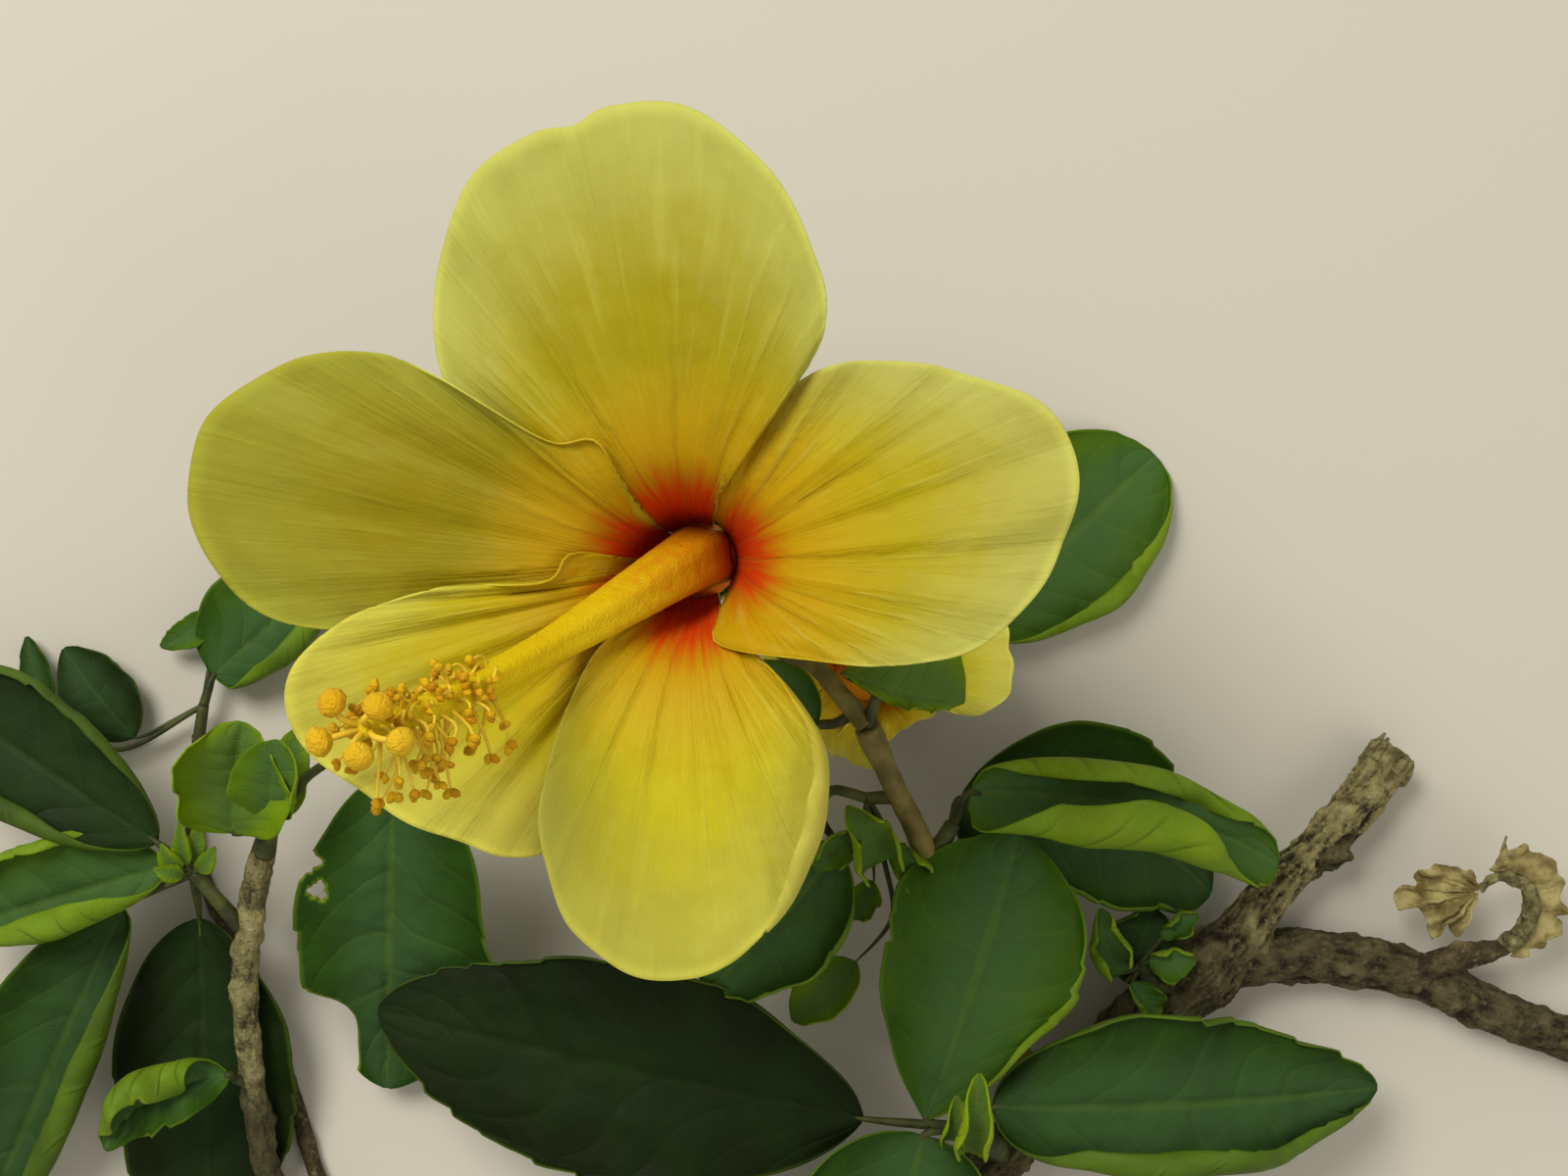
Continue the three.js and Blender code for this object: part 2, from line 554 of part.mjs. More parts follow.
// The staminal column of one bloom, with its stamens and the stigmas at its tip
function column(bloom) {
  const points = bloom.column.map(place);
  const curve = new THREE.CatmullRomCurve3(points, false, 'centripetal');
  const frames = curve.computeFrenetFrames(40, false);
  let solid = columnTube(bloom);
  const spoke = (at, turn, reach, radii, forward) => {
    const step = Math.round(at * 40);
    const start = curve.getPointAt(at);
    const outward = frames.normals[step].clone().multiplyScalar(Math.cos(turn));
    outward.addScaledVector(frames.binormals[step], Math.sin(turn));
    const end = start.clone().addScaledVector(outward, reach).addScaledVector(frames.tangents[step], forward);
    return tube([start, end], radii, 3, 1);
  };
  for (let row = 0; row < bloom.stamenRows; row++) {
    const at = THREE.MathUtils.lerp(STAMENS.from, STAMENS.to, row / (bloom.stamenRows - 1));
    for (let i = 0; i < STAMENS.around; i++) {
      const turn = (2 * Math.PI * (i + 0.5 * (row % 2))) / STAMENS.around;
      solid = solid.add(spoke(at, turn, STAMENS.reach, [STAMENS.radius, STAMENS.anther], 1.5));
    }
  }
  for (let i = 0; i < STIGMAS.count; i++) {
    const turn = (2 * Math.PI * i) / STIGMAS.count;
    solid = solid.add(spoke(0.985, turn, STIGMAS.reach, [STIGMAS.radius, STIGMAS.pad], 2));
  }
  return mainBody(solid);
}

// The green cup under one bloom, clear of the stalk below it and of the petals' tube
function calyx(bloom, stalk) {
  const solid = tube(bloom.calyx.map(place), bloom.calyxRadii, 10, 4);
  return mainBody(solid.subtract(limb(stalk, GAP)).subtract(petalCup(bloom, GAP)));
}

const group = new THREE.Group();

function addPiece(name, solid, color, roughness = 0.8) {
  const material = new THREE.MeshStandardMaterial({ color, roughness, metalness: 0 });
  const mesh = new THREE.Mesh(geometryOf(solid.simplify(FINEST)), material);
  mesh.name = name;
  group.add(mesh);
}

const BARK = 0x7a6a55;
const GREEN_STEM = 0x6d6a3c;
const LEAF_GREEN = 0x2f4f26;
const CALYX_GREEN = 0x5f7a35;
const PETAL_YELLOW = 0xd9c83a;
const COLUMN_YELLOW = 0xe0b52c;
const DRY_TAN = 0xa08a5e;

const LIMB_COLOURS = { flower_twig: GREEN_STEM, front_stalk: GREEN_STEM, second_stalk: GREEN_STEM };

for (const name of Object.keys(LIMBS)) {
  let solid = limb(name);
  for (const parent of PARENTS[name] || []) solid = solid.subtract(limb(parent, GAP));
  addPiece(name, mainBody(solid), LIMB_COLOURS[name] || BARK);
}
for (const [name, spec] of Object.entries(SHOOTS)) addPiece(name, shoot(spec), LEAF_GREEN, 0.45);
addPiece('withered_leaf', shoot(WITHERED_LEAF), DRY_TAN);
const BLOOMS = [['front', FRONT_BLOOM, 'front_stalk'], ['second', SECOND_BLOOM, 'second_stalk']];
for (const [name, bloom, stalk] of BLOOMS) {
  addPiece(`${name}_corolla`, corolla(bloom), PETAL_YELLOW, 0.6);
  addPiece(`${name}_column`, column(bloom), COLUMN_YELLOW, 0.6);
  addPiece(`${name}_calyx`, calyx(bloom, stalk), CALYX_GREEN, 0.6);
}

// The origin is at the middle of the branch's outline on the surface that it lies on
const box = new THREE.Box3().setFromObject(group, true);
const middle = box.getCenter(new THREE.Vector3());
group.position.set(-middle.x, -middle.y, -box.min.z);

export default group;
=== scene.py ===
"""The finished look of a cut flowering hibiscus branch that lies on a level surface, bloom up."""
import math
from dataclasses import dataclass, replace

import bpy
import numpy as np
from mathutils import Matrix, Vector, kdtree, noise


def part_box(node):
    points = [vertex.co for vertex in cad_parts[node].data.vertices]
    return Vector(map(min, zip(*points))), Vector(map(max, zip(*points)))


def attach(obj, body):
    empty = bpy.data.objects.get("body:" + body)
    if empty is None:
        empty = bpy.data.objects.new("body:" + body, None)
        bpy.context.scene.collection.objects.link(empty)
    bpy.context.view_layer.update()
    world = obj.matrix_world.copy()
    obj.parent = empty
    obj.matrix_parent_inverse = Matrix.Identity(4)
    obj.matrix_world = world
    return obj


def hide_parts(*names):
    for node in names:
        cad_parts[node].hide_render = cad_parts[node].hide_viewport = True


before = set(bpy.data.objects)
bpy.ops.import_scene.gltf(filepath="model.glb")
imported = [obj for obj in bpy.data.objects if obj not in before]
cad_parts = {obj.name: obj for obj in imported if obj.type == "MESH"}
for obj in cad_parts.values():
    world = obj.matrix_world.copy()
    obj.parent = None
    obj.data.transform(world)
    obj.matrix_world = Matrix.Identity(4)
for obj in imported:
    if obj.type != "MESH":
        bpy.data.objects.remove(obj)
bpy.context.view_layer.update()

# Every place is written [across, along, height] in millimetres. The first two are as seen from a
# viewpoint straight above the branch, measured in the plane of the open bloom, and place() turns them
# into real positions.
BLOOM_HEIGHT = 85
VIEW_HEIGHT = 385
FIELD_WIDTH = 1600 / 7.5
SENSOR_WIDTH = 36

# The main stem's lowest corner before the branch was centred on its origin, and so the shift since then
STEM_CORNER = np.array([-22.8428, -136.6157, -0.0284])
SHIFT = np.array(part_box("main_stem")[0]) * 1000 - STEM_CORNER

# Thicknesses and other sizes, in millimetres
PETIOLE_RADIUS = 0.85
LEAF_THICKNESS = 0.4
DRY_THICKNESS = 0.35
PETAL_THICKNESS = 0.32
THINNEST_LEAF = 0.25
TOOTH_SPACING = 6.6
LARGE_TOOTH = 1.1
SMALL_TOOTH = 0.35
BARK_ALLOWANCE = 0.55
WELD_VOXEL = 0.5
BITE_HEIGHT = 18

# Distances between a mesh's points along limbs, and along and across leaves, whole or eaten
LIMB_STEP = 0.8
TWIG_STEP = 0.4
LEAF_GRID = (0.75, 1.5)
FINE_GRID = (0.4, 0.9)

# The tone of a leaf at a bite, the turn in radians from one stamen to the next, how far the throats lean,
# and half the width of the floor in metres
TORN_TONE = 1.3
GOLDEN_TURN = 2.39996
THROAT_SLOPE = 0.1
FLOOR_REACH = 8

# Woody limbs: the points that each one passes through, as [across, along, height, radius]
LIMBS = {
    "main_stem": [[-16, -104, 6.2, 6.2], [-2, -97, 5.9, 5.9], [16, -88, 5.6, 5.5], [33, -74, 5.3, 5.2],
        [46, -61, 5.6, 5.4], [57, -52, 7.8, 7.6], [62, -49, 7.2, 5.6]],
    "right_limb": [[58, -51, 7.4, 5.6], [67, -50, 6, 5.4], [77, -50.7, 5.2, 5], [87, -53, 4.9, 4.7],
        [96, -57.3, 4.6, 4.5], [107, -61.6, 4.4, 4.3], [117, -66, 4.3, 4.1]],
    "broken_stub": [[58, -51, 9, 5.6], [63, -46, 9.6, 4.9], [67, -40.5, 9, 4.3], [73, -35, 8, 4],
        [78.5, -28.5, 6.6, 4.5], [83, -22.3, 5, 5]],
    "stub_nub": [[72, -36.5, 8, 2.6], [75, -37, 9.5, 2.2], [77, -36.2, 10, 1.5]],
    "dead_twig": [[85, -53, 6, 2.6], [89, -51, 8.6, 2.3], [94, -50, 9.4, 2], [98.5, -48.5, 10, 1.3]],
    "left_twig": [[-11, -101, 6, 3.1], [-25, -101.5, 3.6, 3], [-45, -99, 3.2, 2.8],
        [-60, -91.5, 4.6, 2.6], [-69.5, -81, 7.6, 2.2], [-72, -69, 10, 2], [-73.4, -54, 13.5, 2.2],
        [-72, -41, 18.5, 2.2], [-70.8, -35.6, 21, 2]],
    "back_twig": [[-4, -97, 4, 1.7], [-22, -94.5, 1.7, 1.6], [-45, -91, 1.5, 1.5], [-61, -84, 1.5, 1.5],
        [-66.5, -70, 1.5, 1.4], [-72, -54, 1.5, 1.4], [-80, -36, 2, 1.3], [-79.6, -20, 4, 1.2]],
    "flower_twig": [[39, -68.5, 6, 3.3], [33, -65, 9, 3.1], [26.5, -57, 13, 2.8], [21.5, -46, 20, 2.5],
        [18.7, -34.5, 29, 2.2], [15, -27, 35.5, 2.1], [11.3, -19, 40, 2.2]],
    "front_stalk": [[11.2, -18.6, 40.2, 2], [7.6, -14.4, 40.3, 1.8], [4.2, -10.6, 39, 1.7],
        [-2, -7.4, 35.5, 1.6], [-5.6, -2.2, 30.5, 1.6], [-6.9, 3.2, 28.8, 1.7], [-7.4, 5.9, 32, 1.9]],
    "second_stalk": [[21.6, -46.5, 19, 1.9], [19.4, -38, 12.5, 1.8], [15.6, -28.5, 8, 1.7],
        [11.6, -19.5, 4.2, 1.6], [9.9, -11.5, 3, 1.6], [9.1, -5.6, 4.4, 1.7]],
}


@dataclass
class Bark:
    """The relief of a kind of bark. Heights and sizes are in millimetres."""
    ring: float  # distance between growth rings
    ring_height: float
    knob_size: float
    knob_height: float
    furrow: float  # depth of the lengthwise furrows
    scars: int  # how many leaf scars there are
    scar_height: float


OLD_BARK = Bark(8.3, 0.22, 3.6, 0.8, 0.9, 46, 1.1)
TWIG_BARK = Bark(7.4, 0.24, 2.6, 0.5, 0.5, 26, 0.85)
THIN_BARK = Bark(11, 0.2, 3, 0.12, 0.2, 8, 0.3)


@dataclass
class Leaf:
    """A leaf. Angles are in degrees, and a pair is for its left and its right half."""
    base: list
    tip: list
    width: float  # when laid flat
    roll: tuple = (20, 20)  # how far each margin rolls up
    flat: tuple = (0.5, 0.5)  # share of each half that stays flat, or one number for both
    fold: float = 8
    tilt: float = 0  # turn about the midrib
    bow: float = 0  # sideways bend of the midrib
    arch: float = 3  # upward bend of the midrib
    widest: float = 0.45  # share of the length at which it is widest
    fullness: float = 0.7  # the lower, the blunter its ends
    uneven: float = 0  # how much wider the right half is than the left one
    unrolled: float = 0  # how much of the roll is lost towards the tip
    wave: float = 0.9  # how far the margin ripples
    # A leaf's tone is also set lower where it lies in shade and higher where it should catch more light,
    # so besides its age it holds painted shade and light.
    tone: float = 0.35  # 0 for an old dark leaf, 1 for a young bright one
    small: bool = False
    via: tuple = ()  # places that the petiole runs through
    bites: tuple = ()  # [across, along, radius] of what has been eaten out of the blade


# Leafy shoots: the points of their own stem with the radius at each, and their leaves. A leaf's petiole
# runs from the stem's end to its base.
SHOOTS = {
    "middle_leaves": ([[30, -77, 6, 2.3], [27.6, -75.4, 15, 2], [24.6, -73.4, 26, 1.6]], [
        Leaf([19.3, -72.3, 28], [32, -33.4, 27], 36, roll=(60, 200), widest=0.6, fullness=0.62, arch=4,
             flat=(0.86, 0.78), unrolled=0.7, tone=0.42, wave=1.4),
        Leaf([28.4, -70.6, 27], [80.7, -67.9, 13], 36, roll=(150, 255), widest=0.42, arch=5,
             uneven=0.05, flat=(0.84, 0.5), tone=0.22, wave=1.8),
        Leaf([19, -74.4, 27], [8, -108, 7], 40, roll=(150, 120), widest=0.4, fullness=0.55, arch=5,
             flat=0.86, tone=0.26),
        # This leaf's very low tone stands for the bloom's shade over it: painted shade.
        Leaf([10.7, -72.2, 24], [-55.2, -57.3, 18.5], 38, roll=(130, 150), widest=0.5, fullness=0.62,
             arch=4, fold=4, flat=0.9, tone=0.02, wave=1.2),
        Leaf([25, -76.6, 29], [26.6, -66, 42], 11, roll=(150, 150), flat=0.2, small=True, tone=0.9),
        Leaf([22.4, -74.6, 28], [23.6, -69, 37], 6, roll=(120, 120), flat=0.2, small=True, tone=0.8),
    ]),
    "upper_leaves": ([[19.2, -37, 27, 1.6], [21.6, -34.4, 27.4, 1.5], [23, -32, 27.2, 1.3]], [
        Leaf([25.4, -27.8, 33], [67.2, -37.6, 20], 33, roll=(250, 235), widest=0.4, fullness=0.55,
             bow=4, arch=3, fold=12, flat=(0.44, 0.14), uneven=0.22, tone=0.5, wave=2.1, unrolled=0.32),
        Leaf([24, -28.6, 21], [58, -41.6, 8], 33, roll=(40, 160), widest=0.4, fullness=0.6, bow=5,
             arch=4, flat=0.7, tone=0.24),
    ]),
    "inner_leaves": ([[15.6, -28.4, 34.8, 1.3], [13.4, -28.5, 33.6, 1.1], [11.4, -28.6, 32.6, 1]], [
        Leaf([7.6, -35.8, 27], [-10.5, -55, 25], 26, roll=(150, 20),
             via=[[6.4, -27.6, 32.4], [5, -31, 30]], arch=3, flat=0.7, tone=0.36, wave=1.6),
        Leaf([11.6, -38, 28], [8.6, -29.6, 34], 14, roll=(160, 130), bow=-2, flat=0.25, small=True,
             tone=0.7, wave=5),
        Leaf([12.2, -40, 25], [9.4, -45, 23.5], 7, roll=(120, 20), arch=1, small=True, tone=0.74,
             wave=6),
        Leaf([15.2, -35, 30], [18.6, -41.4, 26.5], 8, roll=(150, 60), arch=1.4, bow=1.2, flat=0.2,
             small=True, tone=0.62, wave=6),
        Leaf([10.4, -33, 32], [4.2, -38.6, 30], 7, roll=(20, 150), arch=1.2, bow=-1, flat=0.2,
             small=True, tone=0.58, wave=6),
        Leaf([9.8, -50.8, 19.5], [1.2, -59, 17], 11, roll=(100, 20),
             via=[[13.6, -37, 27], [14.6, -45, 22]], arch=1.5, flat=0.3, small=True, tone=0.7),
    ]),
    "knot_leaves": ([[52, -56, 8, 1.7], [49.6, -53, 14.5, 1.4], [48.4, -51.4, 16.5, 1.1]], [
        Leaf([46.2, -52.4, 17], [43, -43.6, 19], 13, roll=(170, 150), bow=1.5, flat=0.2, small=True,
             tone=0.5, wave=4),
        Leaf([46.4, -53.6, 14], [50.4, -43.4, 11.6], 16, roll=(130, 20), arch=1, small=True, tone=0.12,
             wave=4),
        Leaf([49.6, -50.8, 17.4], [56, -50.4, 18], 8, roll=(160, 60), arch=1, flat=0.3, small=True,
             tone=0.55, wave=4),
        Leaf([47.4, -53.6, 16.6], [49.4, -59.4, 15.4], 7, roll=(20, 170), arch=1, bow=1, flat=0.2,
             small=True, tone=0.42, wave=4),
        Leaf([51.4, -47.6, 16], [56.4, -44.4, 15.4], 6, roll=(150, 90), bow=0.8, arch=1, flat=0.2,
             small=True, tone=0.42, wave=4),
    ]),
    "left_leaves": ([[-73, -47, 16, 1.5], [-76.6, -43, 19, 1.3], [-80.4, -38.6, 22, 1.1]], [
        Leaf([-85.3, -34.6, 23], [-119, -11.5, 15], 31, roll=(225, 200), widest=0.5, arch=3,
             flat=(0.52, 0.74), tone=0.08),
        Leaf([-84.3, -37.8, 20.6], [-113, -46.4, 14], 28, roll=(240, 200), arch=3, fold=16,
             flat=(0.3, 0.72), tone=0.48, wave=1.6),
        Leaf([-90, -43.6, 16], [-111.5, -93, 3], 29, roll=(235, 20), arch=2, flat=0.4, tone=0.2),
        Leaf([-79.5, -45, 11], [-78, -93, 1.5], 32, widest=0.48, fullness=0.6, arch=0, fold=3,
             tone=0.06),
        Leaf([-80, -37.4, 23.4], [-79.6, -32, 27.6], 4, arch=0.8, small=True, tone=0.85),
        Leaf([-82, -38, 24], [-84.8, -34.8, 28], 3.6, arch=0.8, bow=0.5, small=True, tone=0.95),
        Leaf([-81.4, -37.6, 24], [-82.2, -31.8, 29], 3.4, arch=0.9, small=True, tone=0.9),
        Leaf([-79.8, -38.4, 23.6], [-77.4, -35.2, 27], 3.4, arch=0.8, bow=-0.6, small=True, tone=0.8),
        Leaf([-81.8, -39, 23.6], [-85.8, -38.2, 26.6], 3.4, arch=0.8, small=True, tone=0.9),
    ]),
    "left_tip_leaves": ([[-70.8, -35.9, 21, 2.1], [-70.3, -33.8, 23, 1.8], [-69.8, -32, 24.4, 1.5]], [
        Leaf([-75, -33.4, 26], [-73.6, -18.2, 33], 26, roll=(80, 40), widest=0.5, fullness=0.55, arch=1,
             fold=24, flat=0.4, tone=0.84, wave=1.8),
        Leaf([-69.8, -31.4, 30.4], [-69, -20.6, 37.5], 14, roll=(20, 120), widest=0.5, fullness=0.55,
             arch=1, flat=0.4, small=True, tone=0.6),
        Leaf([-67.6, -31, 23.6], [-65.4, -18.4, 25], 8, arch=1, bow=1, small=True, tone=0.8),
        Leaf([-53.2, -25.6, 30], [-54, -68, 5.5], 34, roll=(60, 25), widest=0.48, uneven=-0.1,
             fullness=0.58, via=[[-64, -25, 28], [-58, -22.6, 30]], arch=1, fold=3, flat=0.7, tone=0.27,
             wave=1.3, bites=[[-64.4, -36.6, 2.4], [-62.6, -40.6, 1.4], [-60.2, -26.6, 3],
                              [-68, -45, 1.8], [-69.5, -63.9, 12.6]]),
    ]),
    "twig_leaf": ([[-72.4, -67.8, 10.4, 0.9], [-75, -66.6, 13.6, 0.85]], [
        Leaf([-75.6, -66.2, 15.5], [-92.4, -76.4, 15], 21, roll=(20, 235), bow=-3.5, arch=2, tilt=6,
             uneven=0.42, flat=(0.5, 0.12), tone=0.4, wave=2.4, bites=[[-86.4, -69.2, 0.8]]),
    ]),
    "back_left_leaves": ([[-79.6, -20.4, 4, 1.1], [-79, -16, 4.8, 1]], [
        Leaf([-77.6, -12, 5], [-58, 4.4, 0.5], 25, roll=(20, 240), widest=0.42, fullness=0.55, arch=2.4,
             fold=3, flat=(0.6, 0.4), tone=0.36),
        Leaf([-77.2, -3.4, 4.6], [-84.8, -8, 4], 6, bow=0.6, arch=1, small=True, tone=0.5),
        Leaf([-88.4, -20.4, 3.4], [-98, -8.2, 2], 14, arch=1.6, fold=3, small=True, tone=0.16),
        Leaf([-100, -17, 3], [-103, -6.6, 2], 6, via=[[-91, -22, 3.4]], arch=1, small=True, tone=0.2),
    ]),
    "stalk_leaf": ([[11.4, -18.8, 40.4, 1.1], [12, -16.6, 41.6, 1], [12.8, -14.4, 43, 0.9]], [
        # This leaf's high tone lightens it where it lies in shade under the right petal: painted light.
        Leaf([8, -11.6, 43.2], [24.6, -15.4, 40], 16, widest=0.62, fullness=0.7,
             via=[[10.6, -12.8, 40.4]], uneven=-0.66, bow=-0.8, arch=2, fold=4, tone=0.8, wave=1.8),
    ]),
    "bract_leaf": ([[9.6, -17, 40.4, 0.9], [7, -18.4, 37, 0.85], [5, -18.6, 35, 0.8]], [
        Leaf([4.6, -18.4, 34.8], [-3.8, -10, 38.5], 6.4, roll=(20, 60), arch=-1, bow=-1.6, flat=0.4,
             small=True, tone=0.42),
    ]),
    "hidden_leaf": ([[11.8, -19.9, 4.2, 1], [17, -13.6, 2.6, 0.9], [23, -8, 2.8, 0.85]], [
        Leaf([25.6, -5.6, 3], [50.6, 18, 0.5], 37, roll=(60, 225), widest=0.52, fullness=0.5, arch=0,
             fold=7, flat=0.66, tone=0.52),
    ]),
}

# The withered leaf that still hangs on the dead twig: its bent stalk, the shrivelled blade along the
# outside of the bend with its width at each point, and the torn fan that is left of the leaf's end
WITHERED_LEAF = {
    "stalk": [[98.3, -48.6, 10, 1.7], [101.2, -45.4, 12.2, 1.5], [101, -40.6, 14.2, 1.3],
              [97.6, -39.2, 13.4, 1], [94.6, -41, 12.4, 0.5]],
    "curl": [[99.2, -50, 9], [102, -45.4, 11.4], [101.2, -40, 13.2], [96.4, -38, 12.8]],
    "curl_width": [1.2, 4.4, 5, 4.6],
    "fan_foot": [94.4, -41.1, 12.6],
    "fan": [[93.6, -38.4, 13], [89.3, -37.8, 12], [86.3, -38.5, 10.6], [86.2, -40.6, 9.8],
            [83.7, -40.7, 9], [83.4, -43.3, 8.6], [86.3, -43.5, 9.4], [88.2, -47.6, 8.4],
            [90.3, -45.4, 9.6], [91.6, -47.3, 9.4], [93.1, -43.6, 11.4]],
}


@dataclass
class Petal:
    """A petal, which has either an outline or a length and two halves."""
    angle: float  # direction from the throat, in degrees
    droop: float  # how far its outer end droops
    pleats: tuple = (0.3, 5, 0)  # how deep, how many, and how much deeper at the outline's end
    lips: tuple = ()  # parts of the edge that roll back: [start share, end share, degrees, width]
    outline: list = None  # from the side that lies over the next petal, round its tip, to the other
    length: float = 0
    under: tuple = ()  # of the half under the petal before: width, widest share, slowness of the claw
    over: tuple = ()  # of the half over the next petal, likewise


@dataclass
class Bloom:
    """A bloom. The points of its column and calyx have the radius as their fourth number."""
    centre: list
    depth: float  # of the throat
    tube_radius: float
    flare: float  # how slowly the throat narrows from the petals' open part
    lean_angle: float  # direction in which the open part leans down, in degrees
    lean_slope: float
    crown: float  # how far each petal arches up
    overlap: float  # slope with which each petal passes over the next
    claw_span: float  # half the angle that a petal's foot takes up, in degrees
    stamens: int
    petals: list
    column: list
    stigmas: list
    calyx: list


FRONT_BLOOM = Bloom(
    centre=[-14, 2.7, BLOOM_HEIGHT], depth=30, tube_radius=4.8, flare=4.6,
    lean_angle=204, lean_slope=0.28, crown=3, overlap=0.1,
    claw_span=31, stamens=84,
    petals=[
        Petal(100, 0, pleats=(0.42, 7, 0), outline=[
            [-10.4, 10], [-8.7, 14.7], [-2.7, 22.4], [5.1, 34], [4.7, 44], [-3.3, 58], [-13.3, 65.1],
            [-20, 66.3], [-25.4, 64.8], [-28.3, 62.6], [-34, 61.7], [-42.9, 54.7], [-47.2, 42],
            [-45.9, 28], [-32, 14.7], [-20.6, 8]]),
        Petal(168, 3, pleats=(0.42, 7, -0.6), lips=[[0, 0.28, 90, 1.5]], outline=[
            [-21.6, 9.6], [-23.3, 16], [-26, 20], [-31.3, 19.7], [-46.7, 28.3], [-56, 32],
            [-67.3, 30.7], [-78.4, 22.4], [-80.9, 12.6], [-78.4, 4], [-68.7, -4.3], [-53.3, -5.3],
            [-36, -1.4], [-22.4, 1.3]]),
        Petal(212, 4, pleats=(0.7, 10, 0.5), lips=[[0, 0.2, 110, 1.6]], outline=[
            [-22, 2.6], [-25.6, 4.3], [-29.6, 4.3], [-31.4, 1.2], [-46.7, 0], [-59.3, -4.3],
            [-66.5, -10.7], [-67.2, -19], [-58, -26.9], [-46.7, -33.6], [-33.3, -36.1], [-24, -27],
            [-18.4, -9]]),
        Petal(269.5, 0, pleats=(0.42, 8, 0.5), lips=[[0.6, 0.97, 200, 10]], outline=[
            [-21.3, -4], [-26.4, -9.6], [-32, -24], [-33, -34], [-28.6, -46.6], [-17.1, -53.1],
            [-7.7, -51.2], [0.7, -42.4], [5.3, -32], [5.6, -22.4], [-0.4, -12.6], [-8.4, -7]]),
        Petal(10, -2, pleats=(0.5, 9, 0), lips=[[0, 0.22, 100, 1.6]], outline=[
            [-9.6, -3.4], [-10.4, -7.2], [0, -9.2], [17.3, -10.4], [27.1, -7.3], [34.9, 0.4],
            [39.6, 11.6], [37.6, 22], [28.7, 27.9], [10.7, 30.7], [2, 28], [-7, 20], [-12, 10]]),
    ],
    column=[[-11, 4, 56, 5.2], [-12.9, 3.4, 68, 4.5], [-31.6, -8, 88, 2.5], [-45.4, -15.2, 105, 2.1],
            [-57.9, -19.3, 119, 1.3]],
    stigmas=[[-61.5, -15.6, 121], [-55.2, -16.1, 122], [-63.3, -20.9, 121], [-57.9, -22.9, 122.5],
             [-52.1, -20.9, 121]],
    calyx=[[-7.4, 6, 32.3, 2.9], [-9.4, 5, 44, 5.6], [-11.2, 4.1, 54.4, 6.9]],
)

SECOND_BLOOM = Bloom(
    centre=[11.7, -12, 28], depth=13, tube_radius=4.2, flare=3.4,
    lean_angle=290, lean_slope=0.35, crown=2, overlap=0.1,
    claw_span=38, stamens=40,
    petals=[
        Petal(84, 0, length=27, under=(11, 0.6, 0.9), over=(12, 0.6, 0.9)),
        Petal(168, 5, length=14.6, under=(9, 0.6, 0.8), over=(9, 0.6, 0.8)),
        Petal(226, 12, length=10.8, under=(8.6, 0.6, 0.6), over=(8.6, 0.6, 0.6)),
        Petal(297, 12, length=8.6, under=(9.4, 0.6, 0.5), over=(9.4, 0.6, 0.5)),
        Petal(14, 3, length=19.4, under=(11, 0.6, 0.8), over=(8.6, 0.6, 0.6)),
    ],
    column=[[10.8, -9.6, 16.4, 3.4], [8.4, -7.2, 25, 3], [3.4, -1, 38, 1.7], [2.4, 6.4, 50, 1.1]],
    stigmas=[[0.4, 9, 51.5], [4.6, 9.2, 51.5], [6, 5.6, 51], [2.6, 3.4, 51.5], [-0.6, 5.4, 51]],
    calyx=[[9.1, -5.4, 4.7, 2.4], [9.6, -6.4, 10, 4.4], [10, -7.4, 14.2, 5.8]],
)


def spread_at(height):
    """How much wider things at a height really are than they look from the viewpoint."""
    return (VIEW_HEIGHT - height) / (VIEW_HEIGHT - BLOOM_HEIGHT)


def place(points):
    """Real positions of places as seen from the viewpoint."""
    points = np.asarray(points, dtype=float)
    real = points.copy()
    real[..., :2] *= spread_at(points[..., 2:3])
    return real


def unit(vectors):
    """The vectors at length 1."""
    vectors = np.asarray(vectors, dtype=float)
    return vectors / np.maximum(np.linalg.norm(vectors, axis=-1, keepdims=True), 1e-9)


def around(first, second, angle):
    """The direction at an angle between two that are square to each other."""
    return first * np.cos(angle) + second * np.sin(angle)


def ease(low, high, value):
    """0 below low, 1 above high, and smooth between."""
    t = np.clip((value - low) / (high - low), 0, 1)
    return t * t * (3 - 2 * t)


def ripple(points, scale, octaves=3, seed=0):
    """Smooth noise at each point, about -1 to 1."""
    offset = Vector((seed * 17.3, seed * 5.1, seed * 9.7))
    flat = np.asarray(points).reshape(-1, 3) / scale
    values = [noise.fractal(Vector(p) + offset, 1.0, 2.0, octaves) for p in flat.tolist()]
    return np.array(values).reshape(np.asarray(points).shape[:-1])


def distance_run(points, power=1.0):
    """How far along a path each of its points lies, with each step's length raised to a power."""
    steps = np.linalg.norm(np.diff(points, axis=0), axis=1)
    return np.concatenate([[0], np.cumsum(steps**power)])


def smooth_path(points, count):
    """count points, evenly spaced, along a smooth curve through the given ones."""
    points = np.asarray(points, dtype=float)
    if len(points) == 2:
        return points[0] + np.linspace(0, 1, count)[:, None] * (points[1] - points[0])
    knots = distance_run(points, 0.5)
    slopes = np.gradient(points, knots, axis=0)
    dense = np.linspace(0, knots[-1], max(400, 4 * count))
    i = np.clip(np.searchsorted(knots, dense, side="right") - 1, 0, len(knots) - 2)
    gap = (knots[i + 1] - knots[i])[:, None]
    t = (dense - knots[i])[:, None] / gap
    curve = (2 * t**3 - 3 * t**2 + 1) * points[i] + (t**3 - 2 * t**2 + t) * gap * slopes[i]
    curve += (3 * t**2 - 2 * t**3) * points[i + 1] + (t**3 - t**2) * gap * slopes[i + 1]
    run = distance_run(curve)
    even = np.linspace(0, run[-1], count)
    return np.stack([np.interp(even, run, curve[:, k]) for k in range(points.shape[1])], axis=1)


